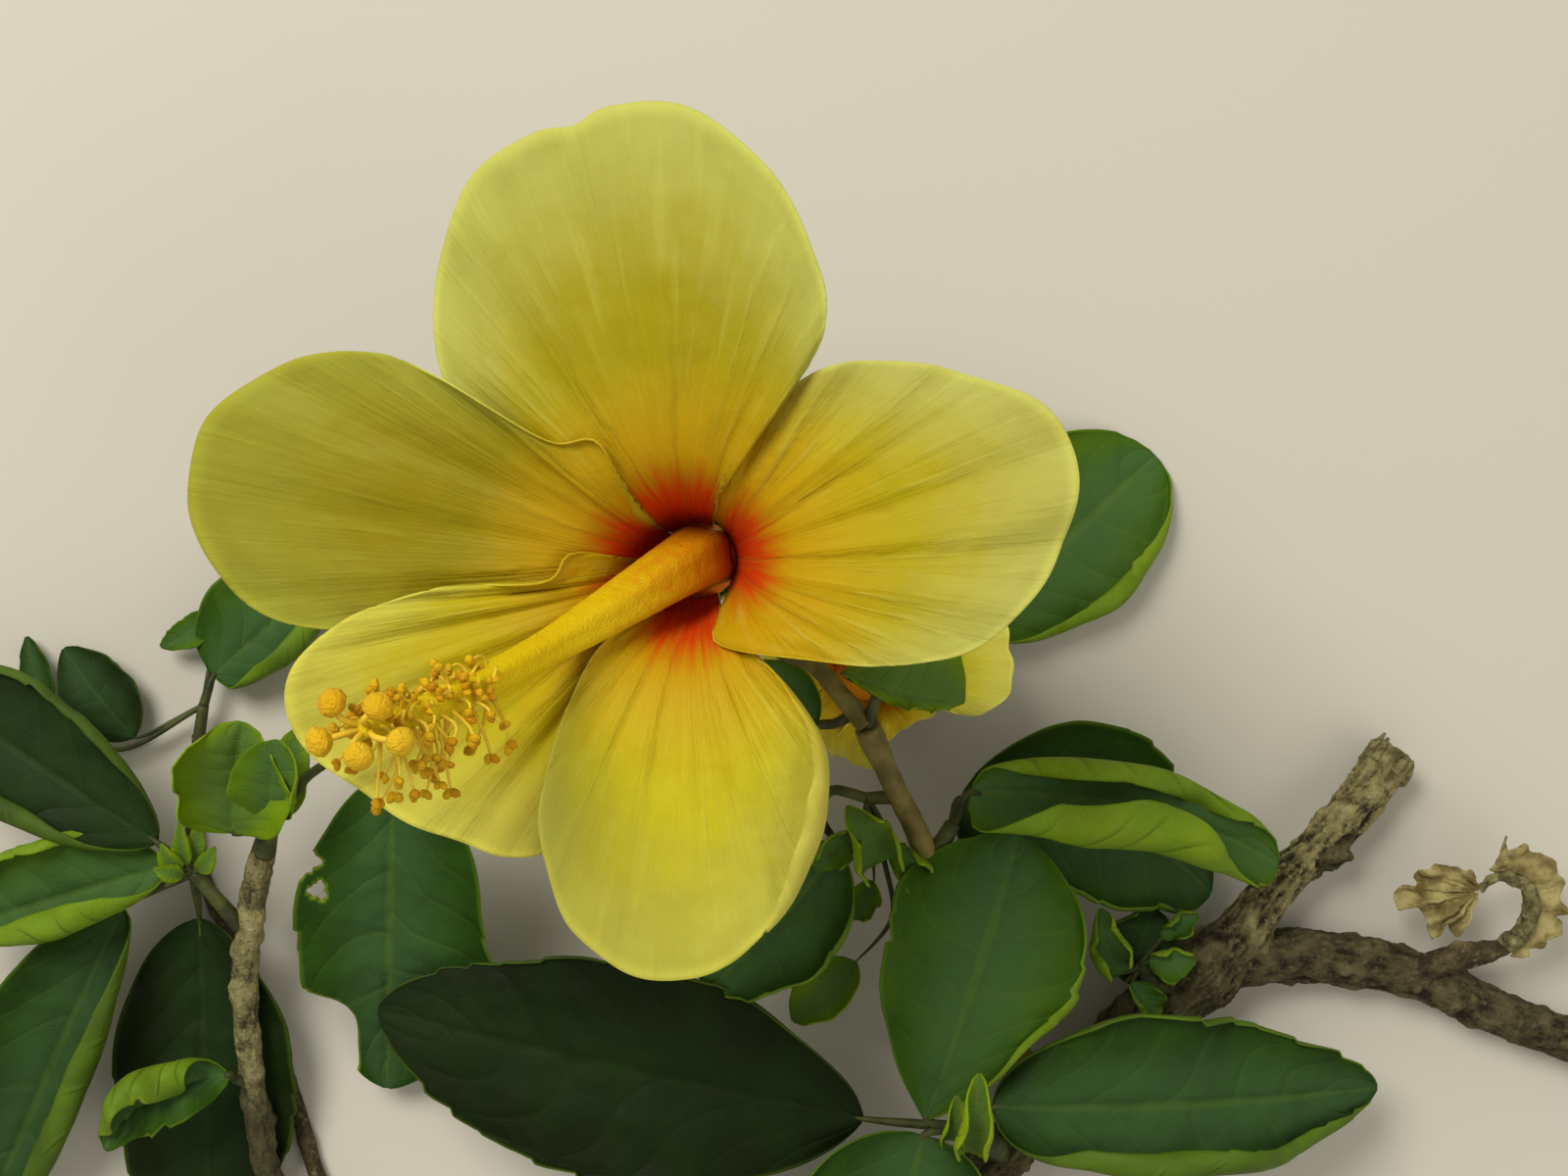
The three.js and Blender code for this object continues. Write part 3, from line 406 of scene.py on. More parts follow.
def tapering(points, step=None, count=None):
    """Real points along a smooth curve through [across, along, height, radius] points, and the radius at
    each: as many as lie about a step apart, or a count of them."""
    points = place(points)
    middle, radii = points[:, :3], points[:, 3]
    run = distance_run(middle)
    count = count or round(run[-1] / step) + 1
    return smooth_path(middle, count), np.interp(np.linspace(0, 1, count), run / run[-1], radii)


def frames_along(path):
    """Tangents, and two directions across the path that don't twist along it."""
    tangents = unit(np.gradient(path, axis=0))
    normal = np.cross(tangents[0], [0.0, 0.0, 1.0])
    if np.linalg.norm(normal) < 0.1:
        normal = np.array([1.0, 0.0, 0.0])
    normals = []
    for tangent in tangents:
        normal = unit(normal - tangent * np.dot(normal, tangent))
        normals.append(normal)
    normals = np.array(normals)
    return tangents, normals, np.cross(tangents, normals)


def turns(count):
    """Angles of count directions spaced evenly round a circle."""
    return np.linspace(0, 2 * math.pi, count, endpoint=False)


def tube_rings(path, radii, sides):
    """Rings of points round a path that has a radius at each of its points."""
    normals, binormals = frames_along(path)[1:]
    outward = around(normals[:, None], binormals[:, None], turns(sides)[None, :, None])
    return path[:, None] + outward * radii[:, None, None]


def raised(rings, path, relief):
    """The rings round a path with each point moved outward by its relief."""
    return rings + unit(rings - path[:, None]) * relief[..., None]


def values_of(first, second=0.0, third=0.0):
    """The three values to store at each point of a grid, each one given for all, by row, or by point."""
    return np.stack(np.broadcast_arrays(first, second, third), axis=-1)


class Shape:
    """Points, faces and vertex values that several forms add to before they become one mesh."""

    def __init__(self):
        self.points = []
        self.faces = []
        self.sides = []
        self.values = []
        self.count = 0

    def add(self, points, faces, values, sides=0):
        """Adds points with their values, and blocks of faces that number those points from 0."""
        self.points.append(points)
        self.values.append(values)
        for block in faces:
            self.faces.extend((block + self.count).tolist())
        total = sum(len(block) for block in faces)
        self.sides.extend(np.broadcast_to(sides, total).tolist())
        self.count += len(points)

    def build(self, name, materials, slot, replaced):
        """Makes the object: it rides on the root and stands for the CAD nodes named."""
        mesh = bpy.data.meshes.new(name)
        points = np.concatenate(self.points) + SHIFT
        points[:, 2] = np.maximum(points[:, 2], 0)
        mesh.from_pydata(points * 0.001, [], self.faces)
        for material in materials:
            mesh.materials.append(material)
        mesh.polygons.foreach_set("material_index", self.sides)
        stored = mesh.attributes.new("form", "FLOAT_VECTOR", "POINT")
        stored.data.foreach_set("vector", np.concatenate(self.values).astype(np.float32).ravel())
        mesh.shade_smooth()
        piece = bpy.data.objects.new(name, mesh)
        bpy.context.collection.objects.link(piece)
        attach(piece, "root")
        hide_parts(*replaced)


def quads(rows, columns, wrap=False):
    """Faces of a grid of points, row by row, closed round its columns if wrap is true."""
    index = np.arange(rows * columns).reshape(rows, columns)
    if wrap:
        index = np.hstack([index, index[:, :1]])
    corners = [index[:-1, :-1], index[1:, :-1], index[1:, 1:], index[:-1, 1:]]
    return np.stack(corners, axis=-1).reshape(-1, 4)


def add_rings(shape, rings, values=0.0):
    """Adds closed rings of points as one skin, with a fan over each end."""
    rows, columns = rings.shape[:2]
    points = np.concatenate([rings.reshape(-1, 3), [rings[0].mean(0)], [rings[-1].mean(0)]])
    values = np.broadcast_to(values, rings.shape)
    values = np.concatenate([values.reshape(-1, 3), [values[0].mean(0)], [values[-1].mean(0)]])
    first = np.arange(columns)
    last = first + (rows - 1) * columns
    near = np.stack([np.full(columns, rows * columns), first, np.roll(first, -1)], axis=1)
    far = np.stack([np.full(columns, rows * columns + 1), np.roll(last, -1), last], axis=1)
    skin = quads(rows, columns, wrap=True)
    corners = [points[skin[:, k]] - points[0] for k in range(3)]
    volume = (corners[0] * np.cross(corners[1], corners[2])).sum()
    blocks = [skin, near, far]
    if volume < 0:
        blocks = [block[:, ::-1] for block in blocks]
    shape.add(points, blocks, values)


def add_tube(shape, points, radii, sides, step):
    """Adds a tapering tube through the points. Its first value is the share along it."""
    path = smooth_path(points, max(3, round(distance_run(points)[-1] / step) + 1))
    share = np.linspace(0, 1, len(path))
    radius = np.interp(share, np.linspace(0, 1, len(radii)), radii)
    add_rings(shape, tube_rings(path, radius, sides), values_of(share[:, None]))


def with_rim(grid, share=0.12):
    """The grid with one more row and column just inside each edge, which keeps a blade's edge crisp."""
    for axis in (0, 1):
        rows = np.moveaxis(grid, axis, 0)
        first = rows[:1] + (rows[1:2] - rows[:1]) * share
        last = rows[-1:] + (rows[-2:-1] - rows[-1:]) * share
        rows = np.concatenate([rows[:1], first, rows[1:-1], last, rows[-1:]])
        grid = np.moveaxis(rows, 0, axis)
    return grid


def any_corner(marks):
    """Whether any of the four marks at the corners of each square of a grid is set."""
    return marks[:-1, :-1] | marks[1:, :-1] | marks[:-1, 1:] | marks[1:, 1:]


def add_blade(shape, grid, thickness, values, kept=None):
    """Adds a thin closed blade round a grid of points: its top is side 0 and its underside side 1. kept
    says which of its squares are there."""
    if kept is None:
        kept = np.ones((grid.shape[0] - 1, grid.shape[1] - 1), dtype=bool)
    grid, values, kept = with_rim(grid), with_rim(values), np.pad(kept, 1, mode="edge")
    rows, columns = grid.shape[:2]
    normal = unit(np.cross(np.gradient(grid, axis=0), np.gradient(grid, axis=1)))
    inner = ~any_corner(~np.pad(kept, 1))
    half = np.where(inner, thickness / 2, 0)[..., None]
    under = np.arange(rows * columns).reshape(rows, columns)
    under[inner] = rows * columns + np.arange(inner.sum())
    top = quads(rows, columns)[kept.ravel()]
    below = under.ravel()[top][:, ::-1]
    points = np.concatenate([(grid + normal * half).reshape(-1, 3), (grid - normal * half)[inner]])
    values = np.concatenate([values.reshape(-1, 3), values[inner]])
    used, order = np.unique(np.concatenate([top.ravel(), below.ravel()]), return_inverse=True)
    top, below = order[:top.size].reshape(-1, 4), order[top.size:].reshape(-1, 4)
    shape.add(points[used], [top, below], values[used], [0] * len(top) + [1] * len(below))


def leaf_directions(span, tilt):
    """Four directions of a leaf: level and up across its midrib, then sideways along its blade and out of
    its face, which differ from those by the tilt."""
    level = unit([-span[1], span[0], 0])
    upward = unit(np.cross(span, level))
    tilt = math.radians(tilt)
    return level, upward, around(level, upward, tilt), around(upward, -level, tilt)


def leaf_half_width(leaf, t, share, length, phase):
    """Half the blade's width at each point, with its uneven halves, its bumps and its teeth."""
    rise = np.clip(t, 0.001, 0.999) ** (math.log(0.5) / math.log(leaf.widest))
    half_width = np.maximum(leaf.width / 2 * np.sin(math.pi * rise) ** leaf.fullness, THINNEST_LEAF)
    right = share < 0
    bumps = 0.045 * np.sin(t * 8 + phase[3] + 2.5 * right)
    bumps = bumps + 0.025 * np.sin(t * 19 + phase[4] + 4 * right)
    half_width = half_width * (1 - leaf.uneven * np.sign(share)) * (1 + bumps)
    teeth = max(3, round(length / TOOTH_SPACING))
    ticks = t * teeth + 0.3 * np.sin(t * 19 + phase[2]) + 0.4 * (share > 0)
    saw = (1 - ticks % 1) * (0.65 + 0.35 * np.sin(1.7 * np.floor(ticks) + phase[3]))
    edge = ease(0.25, 0.5, t) * ease(1, 0.93, t) * ease(0.72, 1, np.abs(share))
    tooth = SMALL_TOOTH if leaf.small else LARGE_TOOTH
    return np.maximum(half_width - tooth * saw * edge, THINNEST_LEAF)


def leaf_section(leaf, t, share, half_width, strength, phase):
    """How far out from the midrib, and how far above it, the folded and rolled blade is."""
    uncurled = 0.88 - leaf.unrolled * ease(0.5, 1, t) + 0.12 * np.sin(t * 11 + phase[2] + 2 * (share < 0))
    roll = np.radians(np.where(share > 0, *leaf.roll)) * strength * uncurled
    fold = math.radians(leaf.fold) * strength
    flat = np.where(share > 0, *np.broadcast_to(leaf.flat, 2))
    straight = np.minimum(np.abs(share), flat) * half_width
    beyond = np.maximum(np.abs(share) - flat, 0)
    turn = np.maximum(roll * beyond / (1 - flat), 1e-4)
    bend = beyond * half_width / turn
    out = straight * np.cos(fold) + bend * (np.sin(fold + turn) - np.sin(fold))
    up = straight * np.sin(fold) + bend * (np.cos(fold) - np.cos(fold + turn))
    return out, up


def vein_course(t, share):
    """Runs from one side vein to the next as it goes up by 1: the veins leave the midrib forward."""
    return 6.5 * (t - 0.24 * np.abs(share) ** 1.3) + 0.4 * (share > 0) + 0.2 * np.sin(8 * t + 5 * share)


def leaf_relief(leaf, t, share, half_width, size, phase):
    """How far the waves of the margin, the swelling between the veins and the midrib's groove lift the
    blade."""
    left = share > 0
    wave = np.sin(t * 9 + phase[0] + 1.6 * left) * np.abs(share) ** 2
    wave = wave + 0.5 * np.sin(t * 23 + phase[1] + 2.4 * left) * np.abs(share) ** 3
    quilt = np.sqrt(np.abs(np.sin(math.pi * vein_course(t, share)))) * (1 - np.abs(share) ** 4)
    groove = np.exp(-(share * half_width / 0.9) ** 2)
    return size * (leaf.wave * wave + 0.42 * (quilt - 0.6) - 0.4 * groove)


def add_leaf(shape, leaf, rng):
    """Adds one leaf. Its values are (share along, share across, tone)."""
    base = place(leaf.base)
    span = place(leaf.tip) - base
    length = np.linalg.norm(span)
    along_step, across_step = FINE_GRID if leaf.bites else LEAF_GRID
    rows = max(18, round(length / along_step))
    columns = max(13, 2 * round(leaf.width / across_step) + 1)
    t = np.linspace(0, 1, rows)[:, None]
    share = np.linspace(-1, 1, columns)[None, :]
    share = np.sign(share) * (1.35 * np.abs(share) - 0.35 * share**2)
    strength = np.sqrt(np.minimum(1.6 * np.sin(math.pi * np.clip(t, 0.001, 0.999)), 1))
    size = min(1, leaf.width / 26)
    phase = rng.uniform(0, 6.28, 5)
    half_width = leaf_half_width(leaf, t, share, length, phase)
    out, up = leaf_section(leaf, t, share, half_width, strength, phase)
    up = up + strength * leaf_relief(leaf, t, share, half_width, size, phase)
    level, upward, side, face = leaf_directions(span, leaf.tilt)
    hump = (4 * t * (1 - t))[..., None]
    middle = base + span * t[..., None] + (level * leaf.bow + upward * leaf.arch) * hump
    grid = middle + side * (np.sign(share) * out)[..., None] + face * up[..., None]
    crumple = 0.6 * ripple(grid, 9, 2, seed=6) + 0.25 * ripple(grid, 3.4, 2, seed=8)
    grid = grid + face * (size * strength * crumple)[..., None]
    kept, torn, grid = bitten(grid, leaf.bites, rng)
    grid[..., 2] = np.maximum(grid[..., 2], 0.3)
    values = values_of(t, share, np.where(torn, TORN_TONE, leaf.tone))
    add_blade(shape, grid, LEAF_THICKNESS, values, kept)


def bitten(grid, bites, rng):
    """Which squares of a leaf's grid are left once its bites are out, which points lie at the bites, and
    the grid drawn to their edges."""
    kept = np.ones((grid.shape[0] - 1, grid.shape[1] - 1), dtype=bool)
    torn = np.zeros(grid.shape[:2], dtype=bool)
    for across, along, radius in bites:
        offset = grid[..., :2] - place([across, along, BITE_HEIGHT])[:2]
        distance = np.maximum(np.linalg.norm(offset, axis=-1), 1e-6)
        turn = np.arctan2(offset[..., 1], offset[..., 0])
        phase = rng.uniform(0, 6.28, 2)
        rag = 0.22 * np.sin(3 * turn + phase[0]) + 0.14 * np.sin(7 * turn + phase[1])
        edge = radius + min(radius, 3) * rag
        gone = distance < edge
        eaten = any_corner(gone)
        beside = any_corner(np.pad(eaten, 1))
        pull = np.where(beside & ~gone, (edge - distance) / distance, 0)
        grid[..., :2] += pull[..., None] * offset
        kept &= ~eaten
        torn |= beside
    return kept, torn, grid


def bark_relief(points, local, style, rng):
    """How far the bark stands out at surface points, which local gives as two offsets from the limb's
    middle and the distance along it."""
    wander = local[..., 2] + 2.4 * ripple(points, 6, 2, seed=3)
    rings = np.abs(np.cos(math.pi * wander / style.ring)) ** 6
    knobs = np.maximum(ripple(points, style.knob_size, 2, seed=5), 0)
    furrows = np.abs(ripple(local * [1, 1, 0.3], 1.5, 4, seed=9))
    relief = style.ring_height * rings + style.knob_height * knobs - style.furrow * furrows
    skin = points.reshape(-1, 3)
    for site in rng.choice(len(skin), style.scars, replace=False):
        distance = np.linalg.norm(points - skin[site], axis=-1) / rng.uniform(1.1, 2.1)
        scar = np.exp(-distance**4) - 0.6 * np.exp(-(distance / 0.4) ** 2)
        relief = relief + style.scar_height * rng.uniform(0.4, 1) * scar
    return relief


def local_places(points, path, nearest, step):
    """Each point's two offsets from the limb's middle, and how far along the limb it lies."""
    offset = points - path[nearest]
    forward, across, beside = [(offset * way[nearest]).sum(axis=-1) for way in frames_along(path)]
    return np.stack([across, beside, nearest * step + forward], axis=-1)


def make_twig(name, style, sides, bark, dark_until, rng):
    """A thin woody limb. Its values are (share along, relief, how pale it is)."""
    path, radii = tapering(LIMBS[name], TWIG_STEP)
    rings = tube_rings(path, radii, sides)
    nearest = np.broadcast_to(np.arange(len(path))[:, None], rings.shape[:2])
    relief = bark_relief(rings, local_places(rings, path, nearest, TWIG_STEP), style, rng)
    share = np.linspace(0, 1, len(path))[:, None]
    shape = Shape()
    pale = ease(dark_until - 0.05, dark_until + 0.03, share)
    add_rings(shape, raised(rings, path, relief), values_of(share, relief, pale))
    shape.build(f"{name}_wood", [bark], "bark", [name])


def numbers_of(items, attribute, kind=np.float32, width=1):
    """One array of an attribute of all the items, which has so many numbers each."""
    numbers = np.zeros(len(items) * width, dtype=kind)
    items.foreach_get(attribute, numbers)
    return numbers


def remeshed(shape, voxel):
    """Points, quads and normals of the shape's tubes joined into one skin."""
    mesh = bpy.data.meshes.new("joined")
    mesh.from_pydata(np.concatenate(shape.points), [], shape.faces)
    joined = bpy.data.objects.new("joined", mesh)
    bpy.context.collection.objects.link(joined)
    modifier = joined.modifiers.new("remesh", "REMESH")
    modifier.mode = "VOXEL"
    modifier.voxel_size = voxel
    skin = bpy.data.meshes.new_from_object(joined.evaluated_get(bpy.context.evaluated_depsgraph_get()))
    points = numbers_of(skin.vertices, "co", width=3).reshape(-1, 3).astype(float)
    normals = numbers_of(skin.vertex_normals, "vector", width=3).reshape(-1, 3).astype(float)
    faces = numbers_of(skin.loops, "vertex_index", np.int32).reshape(-1, 4)
    bpy.data.objects.remove(joined)
    bpy.data.meshes.remove(mesh)
    bpy.data.meshes.remove(skin)
    return points, faces, normals


def nearest_limbs(points, paths):
    """Which of the paths each point is nearest to, and the nearest place on it."""
    tree = kdtree.KDTree(sum(len(path) for path in paths))
    for i, path in enumerate(paths):
        for k, sample in enumerate(path.tolist()):
            tree.insert(sample, 1000 * i + k)
    tree.balance()
    return np.divmod([tree.find(point)[1] for point in points.tolist()], 1000)


def bareness(points, paths):
    """1 where a limb's end shows its wood: the cuts of the stem and right limb, and the stub's tear."""
    bare = np.zeros(len(points))
    for path, end, inner, depth in zip(paths, (0, -1, -1), (3, -4, -4), (0.5, 0.5, 7)):
        outward = unit(path[end] - path[inner])
        beyond = (points - path[end]) @ outward + 0.5 * depth * ripple(points, 4, 2, seed=15)
        near = np.linalg.norm(points - path[end], axis=1) < depth + 6
        bare = np.maximum(bare, near * ease(-depth - 0.5, -depth + 0.3, beyond))
    return bare


def make_old_wood(bark, cut, rng):
    """The main stem, the right limb and the broken stub, with their knotted bark and bare ends. Its
    values are (distance along, relief, how pale it is)."""
    tubes = Shape()
    paths = []
    for name in ["main_stem", "right_limb", "broken_stub", "stub_nub"]:
        path, radii = tapering(LIMBS[name], LIMB_STEP)
        add_rings(tubes, tube_rings(path, radii - BARK_ALLOWANCE, 20))
        paths.append(path)
    points, faces, normals = remeshed(tubes, WELD_VOXEL)
    limb, nearest = nearest_limbs(points, paths)
    local = np.zeros(points.shape)
    for i, path in enumerate(paths):
        local[limb == i] = local_places(points[limb == i], path, nearest[limb == i], LIMB_STEP)
    relief = bark_relief(points, local, OLD_BARK, rng)
    fibres = 0.9 * np.abs(ripple(local * [1, 1, 0.08], 1.3, 3, seed=13))
    bare = bareness(points, paths)
    pale = np.where(limb == 2, 0.2 + 0.8 * ease(3, 16, local[:, 2]), 0.12)
    shape = Shape()
    points = points + normals * (relief * (1 - bare) - fibres * bare)[:, None]
    values = values_of(local[:, 2] / 60, relief, pale)
    shape.add(points, [faces], values, (bare[faces].mean(axis=1) > 0.6).astype(int))
    shape.build("old_wood", [bark, cut], "bark", ["main_stem", "right_limb", "broken_stub"])


def make_stub_splinters(cut, rng):
    """The torn fibres at the end of the broken stub, one of them longer than the rest."""
    path, radii = tapering(LIMBS["broken_stub"], 0.5)
    tangent, normal, binormal = [ways[-1] for ways in frames_along(path)]
    shape = Shape()
    for i in range(15):
        outward = around(normal, binormal, i * 2.4 + rng.uniform(-0.4, 0.4))
        start = path[-1] + outward * rng.uniform(0.2, 0.85) * radii[-1] - tangent * 4
        length = 6.4 if i == 1 else rng.uniform(2.8, 4.9)
        end = start + tangent * length + outward * rng.uniform(-0.5, 0.3)
        width = rng.uniform(0.6, 1.4)
        middle = (start + end) / 2 + outward * rng.uniform(-0.1, 0.2)
        add_tube(shape, [start, middle, end], [width, width * 0.9, width * 0.25], 6, 0.7)
    shape.build("stub_splinters", [cut], "bark", ["broken_stub"])


def bulge(share, at, width):
    """1 at a share of the length, and falling smoothly to 0 beside it."""
    return np.exp(-((share - at) / width) ** 2)


def make_green_stems(stem):
    """The young stem that carries the blooms, and the two flower stalks, each with two swollen nodes."""
    for name, sides in [("flower_twig", 22), ("front_stalk", 18), ("second_stalk", 16)]:
        path, radii = tapering(LIMBS[name], 0.5)
        share = np.linspace(0, 1, len(path))
        swelling = 0.35 * bulge(share, 0.97, 0.035) + 0.25 * bulge(share, 0.42, 0.03)
        rings = tube_rings(path, radii * 0.84 + swelling, sides)
        shape = Shape()
        add_rings(shape, raised(rings, path, 0.09 * ripple(rings, 2.2, 3, seed=11)))
        shape.build(f"{name}_skin", [stem], "green_stem", [name])


def add_shoot_stalks(shape, stem, leaves):
    """Adds a shoot's stem, and the petioles that run from its end into the foot of each leaf."""
    stem = place(stem)
    add_tube(shape, stem[:, :3], stem[:, 3], 12, 0.6)
    for leaf in leaves:
        base = place(leaf.base)
        inward = base + (place(leaf.tip) - base) * 0.05
        route = [stem[-1, :3], *[place(point) for point in leaf.via], base, inward]
        thick = PETIOLE_RADIUS * (0.6 if leaf.small else 1.05)
        radii = [thick * (1 - 0.4 * i / len(route)) for i in range(len(route))]
        radii[-1] *= 0.4
        add_tube(shape, route, radii, 10, 0.6)


def make_shoots(leaf_top, leaf_under, green, rng):
    """All the leafy shoots: each large leaf is a piece, the small ones and the stalks are joined."""
    stalks = Shape()
    small = Shape()
    for name, (stem, leaves) in SHOOTS.items():
        add_shoot_stalks(stalks, stem, leaves)
        for i, leaf in enumerate(leaves, start=1):
            if leaf.small:
                add_leaf(small, leaf, rng)
            else:
                shape = Shape()
                add_leaf(shape, leaf, rng)
                shape.build(f"{name}_{i}", [leaf_top, leaf_under], "leaf", [name])
    stalks.build("leaf_stalks", [green], "green_stem", list(SHOOTS))
    with_small = [name for name, (_, leaves) in SHOOTS.items() if any(leaf.small for leaf in leaves)]
    small.build("small_leaves", [leaf_top, leaf_under], "leaf", with_small)


def add_dry_blade(shape, grid, size, height, seed):
    """Adds a blade of dry leaf, pushed about in every direction by smooth noise."""
    crumple = np.stack([ripple(grid, size, 3, seed + k) for k in range(3)], axis=-1)
    add_blade(shape, grid + height * crumple, DRY_THICKNESS, np.zeros(grid.shape))


def curled_blade(leaf):
    """The frayed blade along the outside of the withered leaf's bend."""
    path = smooth_path(place(leaf["curl"]), 60)
    share = np.linspace(0, 1, 60)
    width = np.interp(share, np.linspace(0, 1, 4), leaf["curl_width"]) * (1 + 0.16 * np.sin(share * 46))
    outward = unit(np.cross(unit(np.gradient(path, axis=0)), [0.0, 0.0, 1.0]))
    across = np.linspace(-0.12, 1, 15)
    lift = 0.55 * np.sin(share * 31)[:, None] * across**2 + 0.5 * across
    grid = path[:, None] + outward[:, None] * (across * width[:, None])[..., None]
    grid[..., 2] += lift * width[:, None] * 0.6
    return grid


def torn_fan(leaf):
    """The torn and pleated fan that is left of the withered leaf's end."""
    foot = place(leaf["fan_foot"])
    edge = smooth_path(place(leaf["fan"]), 90)
    t = np.linspace(0.05, 1, 34)[:, None]
    along_edge = np.linspace(0, 1, 90)
    grid = foot + (edge - foot) * t[..., None]
    pleats = 0.9 * np.sin(along_edge * 44) + 0.5 * np.sin(along_edge * 77 + 5 * t)
    grid[..., 2] += t * pleats + 1.2 * np.sin(math.pi * t)
    return grid


def make_withered_leaf(dry, bark):
    """The dead twig's shrivelled leaf: its wrinkled bent stalk, the blade along it, and the torn fan."""
    leaf = WITHERED_LEAF
    path, radii = tapering(leaf["stalk"], count=70)
    rings = tube_rings(path, radii, 18)
    relief = 0.45 * ripple(rings, 1.6, 3, seed=41)
    stalk = Shape()
    add_rings(stalk, raised(rings, path, relief), values_of(0.0, relief, 1.0))
    stalk.build("withered_stalk", [bark], "dry_leaf", ["withered_leaf"])
    shape = Shape()
    add_dry_blade(shape, curled_blade(leaf), 2.6, 0.7, 20)
    add_dry_blade(shape, torn_fan(leaf), 2.2, 0.5, 30)
    shape.build("withered_blades", [dry, dry], "dry_leaf", ["withered_leaf"])


def petal_height(bloom, petal, dx, dy, t):
    """Height of a petal's mid-surface, and how far it has sunk into the throat."""
    sunk = bloom.depth * np.exp(-(np.hypot(dx, dy) - bloom.tube_radius) / bloom.flare)
    leaning = bloom.lean_slope * around(dx, dy, math.radians(bloom.lean_angle))
    across = around(dy, -dx, math.radians(petal.angle))
    arch = bloom.crown * np.sin(math.pi * np.minimum(t * 0.9, 1))
    height = bloom.centre[2] - sunk - leaning + arch - bloom.overlap * across
    return height - petal.droop * t * t, sunk


def in_throat(bloom, x, y, height, sunk):
    """Real positions of places on a corolla, which lie further to one side the deeper they have sunk."""
    lean = math.radians(bloom.lean_angle)
    shift = THROAT_SLOPE * sunk
    return place(np.stack([x - shift * math.cos(lean), y - shift * math.sin(lean), height], axis=-1))


def petal_outline(bloom, petal, count):
    """Points along a petal's edge, from its over side round the tip to its under side."""
    if petal.outline:
        return smooth_path(petal.outline, count)
    angle = math.radians(petal.angle)
    forward = np.array([math.cos(angle), math.sin(angle)])
    sideways = np.array([-forward[1], forward[0]])
    edge = []
    for (width, widest, claw), sign in [(petal.over, -1), (petal.under, 1)]:
        t = np.linspace(0.12, 1, 12)
        rising = width * np.sin(math.pi / 2 * np.minimum(t / widest, 1)) ** claw
        falling = width * np.sqrt(np.maximum(1 - (np.maximum(t - widest, 0) / (1 - widest)) ** 2.2, 0))
        half = np.where(t < widest, rising, falling)
        along = bloom.tube_radius + (petal.length - bloom.tube_radius) * t
        line = np.array(bloom.centre[:2]) + along[:, None] * forward + sign * half[:, None] * sideways
        edge.append(line if sign < 0 else line[::-1][1:])
    return smooth_path(np.concatenate(edge), count)


def lip_rolls(petal, share, seed):
    """How much of the end of each ray of a petal rolls back, and the radius of its roll."""
    curl = np.zeros(len(share))
    radius = np.full(len(share), 1e-6)
    at = (share + 1) / 2
    for start, stop, degrees, width in petal.lips:
        weight = ease(start, start + 0.09, at) * ease(stop, stop - 0.09, at)
        frayed = weight * width * (1 + 0.1 * np.sin(share * 31 + seed) + 0.06 * np.sin(share * 53))
        curl = np.maximum(curl, frayed)
        radius = np.maximum(radius, frayed / math.radians(degrees))
    return curl, radius


def petal_rays(bloom, petal, share, rows, seed):
    """The points of a petal as seen from the viewpoint, on rays from its claw to its scalloped edge. Also
    how far its rolled lip lifts each one, and the share of the ray at which it lies."""
    centre = np.array(bloom.centre[:2])
    turn = np.radians(petal.angle + share * bloom.claw_span)
    claw = centre + bloom.tube_radius * np.stack([np.cos(turn), np.sin(turn)], axis=1)
    edge = petal_outline(bloom, petal, len(share))
    scallops = 0.5 * np.abs(np.sin(share * 7 + seed)) + 0.18 * np.sin(share * 31 + 2 * seed)
    ray = edge + unit(edge - centre) * (scallops * (1 - share**4))[:, None] - claw
    reach = np.linalg.norm(ray, axis=1)
    curl, radius = lip_rolls(petal, share, seed)
    run = np.linspace(0, 1, rows)[:, None] ** 1.15 * (reach - radius + curl)
    flat = np.minimum(run, reach - radius)
    turned = np.maximum(run - (reach - radius), 0) / radius
    out = flat + radius * np.sin(turned)
    plan = claw + (ray / reach[:, None])[None] * out[..., None]
    return plan, radius * (1 - np.cos(turned)), flat / reach


def pleat_height(petal, share, along, seed):
    """How far a petal's pleats and its ruffled rim lift it."""
    depth, count, bias = petal.pleats
    pleats = np.sin(math.pi * count * (share + 1) + 0.5 * np.sin(3 * along + seed))
    pleats = pleats + 0.25 * np.sin(math.pi * 2.3 * count * share + seed)
    pleats = depth * (1 + bias * share) * ease(0.1, 0.45, along) * pleats * (1 - np.abs(share) ** 4)
    ruffle = np.sin(share * 11 + seed) + 0.6 * np.sin(share * 23 + 2 * seed)
    ruffle = ruffle + 0.35 * np.sin(share * 41 + 3 * seed)
    return pleats + 0.75 * ease(0.72, 1, along) * ruffle


def make_petal(bloom, petal, name, node, skins, seed, size):
    """One petal: a fan of rays from its claw to its outline, pleated, rippled and rolled at the edge. Its
    values are (distance from the throat, share across, share along)."""
    rows, columns = size
    share = np.linspace(-1, 1, columns)
    plan, lift, along = petal_rays(bloom, petal, share, rows, seed)
    dx, dy = np.moveaxis(plan - bloom.centre[:2], -1, 0)
    spread = np.hypot(dx, dy)
    outer = (spread - bloom.tube_radius) / (spread.max() - bloom.tube_radius)
    height, sunk = petal_height(bloom, petal, dx, dy, outer)
    height = height + pleat_height(petal, share, along, seed) + lift
    places = np.concatenate([plan, height[..., None]], axis=-1)
    ripples = 0.5 * ripple(places, 15, 2, seed) + 0.17 * ripple(places, 3, 3, seed)
    height = height + ripples * ease(0.1, 0.45, along)
    grid = in_throat(bloom, plan[..., 0], plan[..., 1], height, sunk)
    shape = Shape()
    add_blade(shape, grid, PETAL_THICKNESS, values_of(spread, share, along))
    shape.build(name, skins, "petal", [node])


